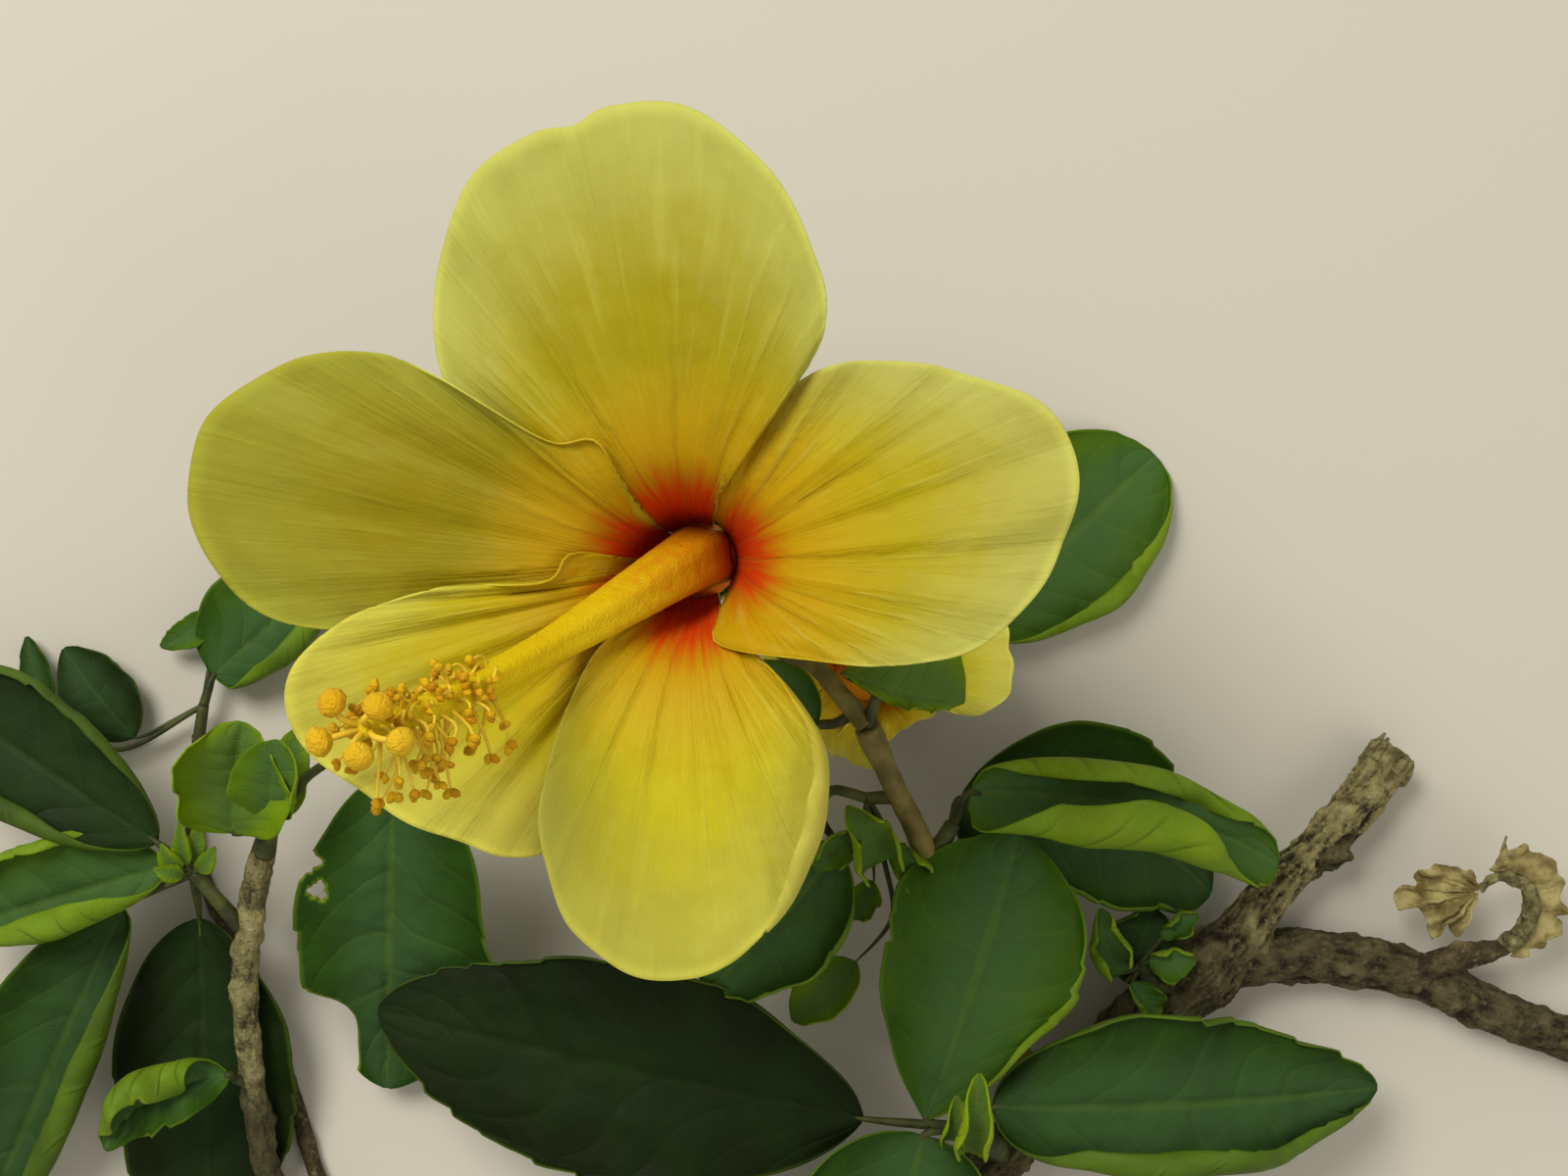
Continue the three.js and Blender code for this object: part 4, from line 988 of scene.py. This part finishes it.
def make_throat_cup(bloom, name, node, material):
    """The fused foot of the petals, which fills the throat round the column and closes below it."""
    sunk = bloom.depth * np.array([0.84, 0.86, 0.9, 0.96, 1.04, 1.17, 1.3])
    inside = bloom.tube_radius + bloom.flare * np.log(1 / np.minimum(sunk / bloom.depth, 1))
    inside[:2] *= [0.6, 0.9]
    inside[-1] *= 0.8
    x, y, z = bloom.centre
    points = in_throat(bloom, x, y, z - sunk, sunk)
    shape = Shape()
    rings = tube_rings(points, inside * spread_at(points[:, 2]), 48)
    add_rings(shape, rings, values_of(np.linspace(0, 1, len(rings))[:, None]))
    shape.build(name, [material], "petal", [node])


def add_blob(shape, centre, axis, radii, tone, size, lumps, seed):
    """Adds a closed lumpy body, with radii along and across its axis. Its first value is its tone."""
    rows, sides = size
    axis = unit(axis)
    across = unit(np.cross(axis, [0.3, 0.5, 0.81]))
    polar = np.linspace(0.12, math.pi - 0.12, rows)[:, None, None]
    ring = np.sin(polar) * around(across, np.cross(axis, across), turns(sides)[None, :, None])
    body = ring * radii[1] - np.cos(polar) * axis * radii[0]
    body = body * (1 + lumps * ripple(body + centre, 0.7, 2, seed))[..., None]
    add_rings(shape, body + centre, [tone, 0, 0])


def add_column(shape, path, radii):
    """Adds the column that the stamens stand on, with five faint ridges."""
    rings = tube_rings(path, radii, 30)
    relief = 0.07 * np.cos(5 * turns(30)) * radii[:, None] + 0.07 * ripple(rings, 1.4, 2, seed=31)
    share = np.linspace(0, 1, len(path))
    add_rings(shape, raised(rings, path, relief), values_of(share[:, None]))


def add_stamens(filaments, anthers, path, radii, count, rng):
    """Adds the filaments round the column's outer part, each with an anther of two lobes. Those on the
    lower side are longer, and all hang a little."""
    tangents, normals, binormals = frames_along(path)
    for i in range(count):
        at = 0.68 + 0.29 * ((i + rng.uniform(0, 0.6)) / count) ** 0.85
        k = int(np.clip(at, 0, 1) * (len(path) - 1))
        outward = around(normals[k], binormals[k], i * GOLDEN_TURN + rng.uniform(-0.25, 0.25))
        reach = rng.uniform(2.8, 5.2) + rng.uniform(3.4, 6.6) * max(0, -outward[1])
        start = path[k] + outward * radii[k] * 0.5
        bend = start + outward * reach * 0.6 + tangents[k] * rng.uniform(0.2, 1.4)
        end = path[k] + outward * reach + tangents[k] * rng.uniform(0.6, 3.4)
        end[1] -= rng.uniform(0, 1.6)
        add_tube(filaments, [start, bend, end], [0.32, 0.24, 0.17], 6, 0.8)
        across = unit(np.cross(outward, tangents[k]) + 0.5 * rng.standard_normal(3))
        size = rng.uniform(0.85, 1.15)
        for sign in (-1, 1):
            lobe = end + across * 0.42 * size * sign - outward * 0.12
            add_blob(anthers, lobe, outward + across * sign * 0.8, [0.72 * size, 0.55 * size],
                     rng.uniform(0, 1), (7, 9), 0.22, i)


def add_stigmas(filaments, stigmas, path, pads):
    """Adds the short branches at the column's tip, each with a round stigma at its end."""
    tip = path[-1]
    tangent = frames_along(path)[0][-1]
    for i, pad in enumerate(place(pads)):
        middle = (tip + pad) / 2 + tangent * 0.8
        add_tube(filaments, [tip - tangent * 2, middle, pad], [0.5, 0.42, 0.4], 8, 0.6)
        add_blob(stigmas, pad, unit(pad - tip) + tangent * 0.4, [1.5, 1.85], i / 5, (22, 30), 0.1, i)


def make_stamens(bloom, name, node, finishes, rng):
    """The column with its filaments, their anthers, and the stigmas on the branches of its tip."""
    path, radii = tapering(bloom.column, 0.4)
    column, filaments, anthers, stigmas = Shape(), Shape(), Shape(), Shape()
    add_column(column, path, radii)
    add_stamens(filaments, anthers, path, radii, bloom.stamens, rng)
    add_stigmas(filaments, stigmas, path, bloom.stigmas)
    column.build(f"{name}_column_skin", [finishes["column"]], "stamen", [node])
    filaments.build(f"{name}_filaments", [finishes["filament"]], "stamen", [node])
    anthers.build(f"{name}_anthers", [finishes["anther"]], "stamen", [node])
    stigmas.build(f"{name}_stigmas", [finishes["stigma"]], "stamen", [node])


def calyx_cup(path, radii, normal, binormal):
    """Rings up the outside of the cup to its five pointed lobes, then down its inside."""
    turn = turns(100)
    tops = 0.56 + 0.44 * np.abs(np.cos(2.5 * turn)) ** 0.75
    ribs = 0.14 * np.cos(10 * turn)
    outward = around(normal, binormal, turn[:, None])
    share = np.linspace(0, 1, len(path))
    rings = []
    for levels, inset in [(share, 0), (share[::-1][:-6], 0.45)]:
        for level in levels:
            at = level * tops
            middle = np.stack([np.interp(at, share, path[:, k]) for k in range(3)], axis=1)
            swell = np.interp(at, share, radii) + ribs * ease(0, 0.3, level) - inset
            rings.append(middle + outward * (swell + 0.5 * ease(0.6, 1, level))[:, None])
    return np.array(rings)


def make_calyx(bloom, name, node, material):
    """The ribbed green cup under a bloom, split into five pointed lobes, with thin bracts below it."""
    path, radii = tapering(bloom.calyx, count=46)
    normal, binormal = [ways[0] for ways in frames_along(path)[1:]]
    shape = Shape()
    add_rings(shape, calyx_cup(path, radii, normal, binormal))
    for angle in turns(7):
        outward = around(normal, binormal, angle)
        route = [path[k] + outward * (radii[k] + out) for k, out in [(2, -0.3), (16, 1.3), (27, 1.7)]]
        add_tube(shape, route, [0.6, 0.55, 0.1], 7, 0.7)
    shape.build(f"{name}_calyx_skin", [material], "calyx", [node])


def rgb(red, green, blue):
    """A colour given as a screen shows it, 0 to 255, as the shader's own numbers."""
    tones = np.array([red, green, blue]) / 255
    linear = np.where(tones > 0.04045, ((tones + 0.055) / 1.055) ** 2.4, tones / 12.92)
    return (*linear.tolist(), 1.0)


def tinted(tones, red, green, blue):
    """A screen colour with each of its tones multiplied by a factor."""
    return tuple(min(255, round(tone * factor)) for tone, factor in zip(tones, (red, green, blue)))


class Value:
    """A number or colour that the shader works out. Arithmetic with it adds the nodes that do it."""

    def __init__(self, finish, socket):
        self.finish = finish
        self.socket = socket

    def __add__(self, other):
        return self.finish.calc("ADD", self, other)

    def __sub__(self, other):
        return self.finish.calc("SUBTRACT", self, other)

    def __mul__(self, other):
        return self.finish.calc("MULTIPLY", self, other)

    def __truediv__(self, other):
        return self.finish.calc("DIVIDE", self, other)

    def __pow__(self, other):
        return self.finish.calc("POWER", self, other)

    def __abs__(self):
        return self.finish.calc("ABSOLUTE", self)


class Finish:
    """A material whose colour, roughness and relief come from a few nodes. Its colours are given as
    (red, green, blue) as a screen shows them."""

    def __init__(self, name, sockets):
        self.material = bpy.data.materials.new(name)
        self.material.use_nodes = True
        self.tree = self.material.node_tree
        self.shader = self.tree.nodes["Principled BSDF"]
        for socket, value in sockets.items():
            self.shader.inputs[socket].default_value = value

    def node(self, kind, inputs, **settings):
        """A new node with its settings, each input joined to a value or set to a number or colour."""
        node = self.tree.nodes.new("ShaderNode" + kind)
        for setting, value in settings.items():
            setattr(node, setting, value)
        for key, value in inputs.items():
            self.feed(node.inputs[key], value)
        return node

    def feed(self, socket, value):
        if isinstance(value, Value):
            self.tree.links.new(value.socket, socket)
        else:
            socket.default_value = rgb(*value) if isinstance(value, tuple) else value

    def out(self, node, output=0):
        return Value(self, node.outputs[output])

    def calc(self, operation, first, second=0.0):
        """What a Math node makes of one or two numbers."""
        return self.out(self.node("Math", {0: first, 1: second}, operation=operation))

    def between(self, value, low, high):
        """0 where the value is low, 1 where it is high, and smooth between."""
        inputs = {"Value": value, "From Min": low, "From Max": high}
        return self.out(self.node("MapRange", inputs, interpolation_type="SMOOTHSTEP"))

    def mix(self, share, first, second):
        """The first colour where the share is 0, and the second where it is 1."""
        return self.out(self.node("Mix", {0: share, 6: first, 7: second}, data_type="RGBA"), 2)

    def ramp(self, value, stops):
        """A colour that changes smoothly through the stops, each a value and a colour."""
        node = self.node("ValToRGB", {"Fac": value})
        while len(node.color_ramp.elements) < len(stops):
            node.color_ramp.elements.new(1.0)
        for element, (position, colour) in zip(node.color_ramp.elements, stops):
            element.position = position
            element.color = rgb(*colour)
        return self.out(node)

    def form(self):
        """The three values stored at each point of the mesh."""
        stored = self.out(self.node("Attribute", {}, attribute_name="form"), "Vector")
        parts = self.node("SeparateXYZ", {0: stored})
        return [self.out(parts, k) for k in range(3)]

    def position(self):
        return self.out(self.node("TexCoord", {}), "Object")

    def noise(self, scale, detail=3.0, places=None):
        """Noise from 0 to 1, by default at so many features a metre."""
        inputs = {"Vector": places or self.position(), "Scale": scale, "Detail": detail}
        return self.out(self.node("TexNoise", inputs), "Fac")

    def rays(self, share, outward, density, change):
        """Noise drawn out along a petal: density sets how fine its rays are, change how long."""
        fan = self.node("CombineXYZ", {0: share * density, 1: outward * change})
        return self.noise(1.0, places=self.out(fan))

    def net(self, scale, width):
        """1 on the lines of a fine irregular net, falling to 0 inside its cells."""
        inputs = {"Vector": self.position(), "Scale": scale}
        cells = self.out(self.node("TexVoronoi", inputs, feature="DISTANCE_TO_EDGE"), "Distance")
        return self.between(cells, width, 0.0)

    def done(self, colour, roughness, height, distance):
        """Sets the surface: its relief is height times distance in metres."""
        self.feed(self.shader.inputs["Base Color"], colour)
        self.feed(self.shader.inputs["Roughness"], roughness)
        bump = self.node("Bump", {"Height": height, "Distance": distance})
        self.feed(self.shader.inputs["Normal"], self.out(bump))
        return self.material


def leaf_veins(finish):
    """1 on a leaf's midrib and 0 beside it, the same for its side veins, how far out from the midrib the
    point is, and its tone."""
    along, share, tone = finish.form()
    side = abs(share)
    bend = finish.calc("SINE", along * 8.0 + share * 5.0)
    course = (along - side ** 1.3 * 0.24) * 6.5 + bend * 0.2
    course = course + finish.calc("GREATER_THAN", share, 0.0) * 0.4
    veins = finish.between(finish.calc("PINGPONG", course, 0.5), 0.09, 0.02)
    return finish.between(side, 0.07, 0.02), veins * finish.between(side, 0.98, 0.7), side, tone


def leaf_top_finish():
    """The upper face: a painted bluish-grey sheen in the middle, faint veins and a thin bright margin."""
    finish = Finish("leaf_top", {"Specular IOR Level": 0.09})
    midrib, veins, side, tone = leaf_veins(finish)
    patches = (finish.noise(80) - 0.5) * 0.3
    colour = finish.ramp(tone * 0.8 + patches, [
        (0.0, (16, 27, 3)), (0.12, (22, 42, 7)), (0.27, (40, 72, 12)), (0.4, (62, 94, 14)),
        (0.76, (110, 138, 8)), (0.8, (110, 138, 8)), (0.88, (150, 130, 78))])
    young = finish.between(tone, -0.05, 0.35)
    # A bluish grey towards the middle of young leaves stands for the sky's sheen on the blade: painted
    # reflection.
    colour = finish.mix(finish.between(side, 0.8, 0.15) * young * 0.6, colour, (64, 96, 56))
    mesh = finish.net(620, 0.09)
    colour = finish.mix(mesh * young * 0.06, colour, (86, 112, 34))
    ribs = finish.calc("MAXIMUM", veins * 0.07, midrib * 0.2)
    colour = finish.mix(ribs * young, colour, (100, 124, 44))
    margin = finish.between(side, 0.93, 0.99) * (young * 0.35 + 0.15)
    colour = finish.mix(margin, colour, (88, 116, 18))
    height = finish.noise(2600) - mesh * 0.25 - veins * 0.6
    return finish.done(colour, finish.between(finish.noise(160), -1.1, 1.7), height, 0.0001)


def leaf_under_finish():
    """The underside: brighter, with raised darker veins."""
    finish = Finish("leaf_under", {"Specular IOR Level": 0.2})
    midrib, veins, side, tone = leaf_veins(finish)
    patches = (finish.noise(90, 2.0) - 0.5) * 0.4
    colour = finish.ramp(tone * 0.8 + patches, [
        (0.0, (46, 66, 12)), (0.24, (80, 108, 16)), (0.4, (104, 132, 14)), (0.76, (132, 156, 10)),
        (0.8, (132, 156, 10)), (0.88, (150, 130, 78))])
    colour = finish.mix(veins * 0.4, colour, (78, 98, 14))
    colour = finish.mix(finish.net(520, 0.12) * 0.12, colour, (72, 92, 14))
    colour = finish.mix(midrib * 0.5, colour, (140, 156, 60))
    return finish.done(colour, 0.62, finish.noise(1800) + veins * 2.0, 0.00012)


# The colours of a petal's foot by share of its length: the red eye on its face, made lighter deep in the
# throat to stand for light in its shade (painted light), and its plain back
PETAL_EYE_WITH_PAINTED_LIGHT = [(0.08, (255, 76, 12)), (0.12, (206, 42, 3)), (0.17, (206, 64, 2)), (0.205, (192, 114, 2)),
             (0.25, (186, 146, 3))]
PETAL_BACK = [(0.08, (138, 146, 60)), (0.17, (196, 150, 40)), (0.25, (184, 154, 20))]


def petal_ground(finish, radius, share, middle, reach, foot):
    """The petal's colour along its length, with a ragged border where its foot ends."""
    shift = (finish.rays(share, radius, 11.0, 0.12) - 0.5) * 6.0
    clear = abs(share) ** 5.0 * finish.between(radius, 20.0, 10.0)
    return finish.ramp((radius + (shift + clear * 10.0)) / reach, [*foot, (0.5, middle), (0.95, middle)])


def petal_lines(finish, share, along):
    """1 on the fine dark lines that run up the petal from its foot."""
    course = share * 2.6 + finish.rays(share, along, 3.0, 4.0) * 0.7
    lines = finish.between(finish.calc("PINGPONG", course, 0.5), 0.06, 0.0)
    return lines * finish.between(along, 0.8, 0.15)


def petal_finish(name, middle, rim, reach=60.0, foot=PETAL_EYE_WITH_PAINTED_LIGHT):
    """Petal skin: the colours of its foot, then the petal's own yellow, paler at the rim, with a thin
    painted highlight along its edge.
    """
    finish = Finish(name, {
        "Subsurface Weight": 0.12, "Subsurface Scale": 0.002, "Specular IOR Level": 0.15})
    radius, share, along = finish.form()
    colour = petal_ground(finish, radius, share, middle, reach, foot)
    mottle = finish.rays(share, along, 6.0, 6.0)
    beside = finish.between(abs(share), 0.8, 1.0) * finish.between(along, 0.5, 0.85)
    rising = finish.between(along + (mottle - 0.5) * 0.4, 0.5, 1.0)
    paler = finish.calc("MAXIMUM", rising, beside * 0.7) * finish.between(radius / reach, 0.32, 0.66)
    colour = finish.mix(paler * 0.9, colour, rim)
    colour = finish.mix(finish.between(mottle, 0.45, 0.7) * 0.22, colour, tinted(middle, 0.9, 0.84, 0.4))
    lines = petal_lines(finish, share, along)
    fine = finish.rays(share, along, 70.0, 1.6)
    colour = finish.mix(lines * 0.2 + fine * 0.1, colour, tinted(middle, 0.76, 0.66, 0.2))
    ribs = finish.between(finish.rays(share, along, 22.0, 2.4), 0.5, 0.7) * 0.14
    ribs = ribs * finish.between(along, 0.15, 0.5)
    colour = finish.mix(ribs, colour, tinted(rim, 1.16, 1.16, 1.16))
    # A thin lighter line along the very edge: painted highlight.
    margin = finish.between(along, 0.955, 0.995) * 0.4
    colour = finish.mix(margin, colour, tinted(rim, 1.2, 1.2, 1.2))
    height = fine + finish.noise(1300, 4.0) * 0.4 + ribs * 4.0 - lines * 0.5
    return finish.done(colour, 0.6, height, 0.00018)


def stamen_finish(name, stops, roughness, distance):
    """A finish for one part of the column: its colours run along the stored first value."""
    finish = Finish(name, {
        "Subsurface Weight": 0.08, "Subsurface Scale": 0.001, "Specular IOR Level": 0.2})
    patches = (finish.noise(700) - 0.5) * 0.3
    colour = finish.ramp(finish.form()[0] + patches, stops)
    return finish.done(colour, roughness, finish.noise(2600), distance)


def bark_finish(name, dark, middle, pale, lichen):
    """Bark: dark in its cracks, paler on its ridges, with a scatter of still paler specks. It is darker
    where the third stored value falls to 0."""
    finish = Finish(name, {"Specular IOR Level": 0.3})
    relief, clear = finish.form()[1:]
    grain = finish.noise(380, 4.0) + finish.noise(1500, 4.0)
    colour = finish.ramp(relief * 0.45 + grain * 0.5, [(0.28, dark), (0.55, middle), (0.95, pale)])
    specks = finish.between(finish.noise(900, 4.0), 0.58, 0.68)
    colour = finish.mix(specks * 0.45, colour, lichen)
    colour = finish.mix(clear * -0.8 + 0.8, colour, dark)
    return finish.done(colour, 0.85, finish.noise(1400, 5.0) + finish.noise(380, 2.0) * 1.4, 0.0006)


def grain_finish(name, dark, pale, roughness, scale, distance):
    """Two colours in soft mottles with a fine grain, for cut wood, green stems and dry leaves."""
    finish = Finish(name, {"Specular IOR Level": 0.35})
    colour = finish.mix(finish.between(finish.noise(scale, 4.0), 0.35, 0.66), dark, pale)
    return finish.done(colour, roughness, finish.noise(scale * 5, 4.0), distance)


# Middle and rim colours of the petals, as the screen shows them, and how far out the colours reach in
# millimetres where that isn't the open bloom's 60. The five petals of the open bloom are lighter and
# darker copies of one yellow, each holding the light and shade that fall on it: painted light and shade.
# The second bloom's colours are lightened to stand for light that its shaded place lacks: painted light.
PETAL_LOOKS_WITH_PAINTED_LIGHT = {
    "top": [(150, 141, 4), (170, 174, 84)],
    "left": [(134, 123, 2), (144, 146, 46)],
    "lower_left": [(176, 160, 2), (188, 184, 74)],
    "bottom": [(188, 178, 24), (182, 181, 76)],
    "right": [(166, 153, 4), (170, 172, 86)],
    "second": [(238, 226, 52), (240, 232, 108), 25.0],
    "back": [(180, 164, 24), (184, 182, 82), 60.0, PETAL_BACK],
}
# Parts of the column and the feet of the corollas: colours along their length, roughness and relief
STAMEN_LOOKS = {
    "column": [[(0.0, (198, 108, 5)), (0.18, (202, 132, 4)), (0.4, (208, 176, 5)), (1.0, (216, 192, 10))],
               0.5, 0.0002],
    # The front throat's orange is lightened to stand for light in the shade round the column's foot:
    # painted light.
    "front_throat": [[(0.0, (240, 130, 8)), (0.2, (216, 104, 10)), (0.4, (120, 110, 30)),
                      (0.9, (120, 130, 50))], 0.6, 0.0003],
    "second_throat": [[(0.0, (220, 150, 10)), (0.5, (206, 120, 10)), (0.9, (120, 130, 50))], 0.6, 0.0003],
    "filament": [[(0.0, (216, 178, 30)), (1.0, (224, 196, 60))], 0.5, 0.0001],
    "anther": [[(0.0, (186, 132, 6)), (1.0, (212, 172, 16))], 0.8, 0.0004],
    "stigma": [[(0.0, (212, 164, 18)), (1.0, (226, 186, 36))], 0.85, 0.0005],
}


def make_blooms(rng):
    """Both blooms. Each petal of the open one has its own look, with its own painted light and shade, and
    those of the other share theirs, lightened as painted light.
    """
    skins = {name: petal_finish(f"petal_{name}", *look) for name, look in PETAL_LOOKS_WITH_PAINTED_LIGHT.items()}
    finishes = {name: stamen_finish(name, *look) for name, look in STAMEN_LOOKS.items()}
    calyx = grain_finish("calyx", (82, 100, 40), (122, 140, 62), 0.55, 260, 0.0002)
    for name, bloom, size in [("front", FRONT_BLOOM, (84, 132)), ("second", SECOND_BLOOM, (44, 72))]:
        node = f"{name}_corolla"
        for i, (petal, part) in enumerate(zip(bloom.petals, PETAL_LOOKS_WITH_PAINTED_LIGHT)):
            face = skins[part if name == "front" else "second"]
            piece = f"{name}_petal_{part}"
            make_petal(bloom, petal, piece, node, [face, skins["back"]], 1.7 * i + 0.4, size)
        make_throat_cup(bloom, f"{name}_throat", node, finishes[f"{name}_throat"])
        make_stamens(bloom, name, f"{name}_column", finishes, rng)
        make_calyx(bloom, name, f"{name}_calyx", calyx)


def make_wood(cut, pale_bark, rng):
    """All the woody limbs, from the knotted main stem to the thin twigs."""
    old_bark = bark_finish("old_bark", (34, 28, 14), (124, 115, 73), (166, 157, 108), (176, 167, 122))
    dark_bark = bark_finish("dark_bark", (30, 24, 12), (66, 56, 34), (112, 100, 66), (136, 126, 88))
    make_old_wood(old_bark, cut, rng)
    make_stub_splinters(cut, rng)
    make_twig("left_twig", TWIG_BARK, 40, pale_bark, 0.71, rng)
    # The back twig's dark bark also stands for the shade it lies in under the leaves: partly painted
    # shade.
    make_twig("back_twig", THIN_BARK, 14, dark_bark, 0.0, rng)
    make_twig("dead_twig", replace(TWIG_BARK, scars=7), 28, dark_bark, 0.0, rng)


def make_branch():
    """All the pieces of the branch, with their finishes."""
    rng = np.random.default_rng(7)
    pale_bark = bark_finish("pale_bark", (44, 38, 20), (116, 109, 70), (152, 144, 98), (166, 158, 116))
    cut = grain_finish("bare_wood", (86, 78, 46), (146, 136, 92), 0.85, 500, 0.0004)
    stem = grain_finish("green_stem", (88, 78, 30), (118, 106, 50), 0.6, 240, 0.0002)
    # The leaf stalks are darkened to stand for the shade they lie in among the leaves: painted shade.
    stalk = grain_finish("leaf_stalk", (40, 46, 15), (72, 78, 28), 0.6, 240, 0.0002)
    dry = grain_finish("dry_leaf", (106, 90, 46), (170, 157, 104), 0.85, 260, 0.0005)
    make_wood(cut, pale_bark, rng)
    make_green_stems(stem)
    make_shoots(leaf_top_finish(), leaf_under_finish(), stalk, rng)
    make_withered_leaf(dry, pale_bark)
    make_blooms(rng)


def add_soft_light(name, position, size, power, colour):
    """Adds a round light of its own size and power that faces the origin."""
    light = bpy.data.lights.new(name, "AREA")
    light.shape = "DISK"
    light.size = size
    light.energy = power
    light.color = colour
    lamp = bpy.data.objects.new(name, light)
    lamp.location = position
    lamp.rotation_euler = Vector(position).to_track_quat("Z", "Y").to_euler()
    bpy.context.collection.objects.link(lamp)


def make_studio():
    """A plain pale floor, two soft lights and a warm even sky."""
    mesh = bpy.data.meshes.new("floor")
    corners = [(x * FLOOR_REACH, y * FLOOR_REACH, 0) for x, y in [(-1, -1), (1, -1), (1, 1), (-1, 1)]]
    mesh.from_pydata(corners, [], [(0, 1, 2, 3)])
    floor = bpy.data.objects.new("floor", mesh)
    finish = Finish("floor", {"Specular IOR Level": 0.2})
    mesh.materials.append(finish.done((196, 192, 182), 0.9, finish.noise(300, 2.0), 0.00002))
    bpy.context.collection.objects.link(floor)
    add_soft_light("key", (-0.42, 0.5, 0.85), 0.55, 9, (1.0, 0.97, 0.88))
    add_soft_light("fill", (0.7, -0.35, 0.7), 0.9, 2.4, (1.0, 0.96, 0.84))
    world = bpy.data.worlds.new("sky")
    world.use_nodes = True
    sky = world.node_tree.nodes["Background"]
    sky.inputs["Color"].default_value = (1.0, 0.965, 0.84, 1)
    sky.inputs["Strength"].default_value = 0.46
    bpy.context.scene.world = world
    bpy.context.scene.view_settings.view_transform = "Standard"


def make_camera():
    """The camera at the photograph's viewpoint, straight above the open bloom, looking down."""
    camera = bpy.data.cameras.new("camera")
    camera.sensor_width = SENSOR_WIDTH
    camera.lens = SENSOR_WIDTH * (VIEW_HEIGHT - BLOOM_HEIGHT) / FIELD_WIDTH
    camera.clip_start = 0.01
    viewpoint = bpy.data.objects.new("camera", camera)
    viewpoint.location = (SHIFT + np.array([0, 0, VIEW_HEIGHT])) * 0.001
    bpy.context.collection.objects.link(viewpoint)
    bpy.context.scene.camera = viewpoint


make_camera()
make_studio()
make_branch()

bpy.context.view_layer.update()
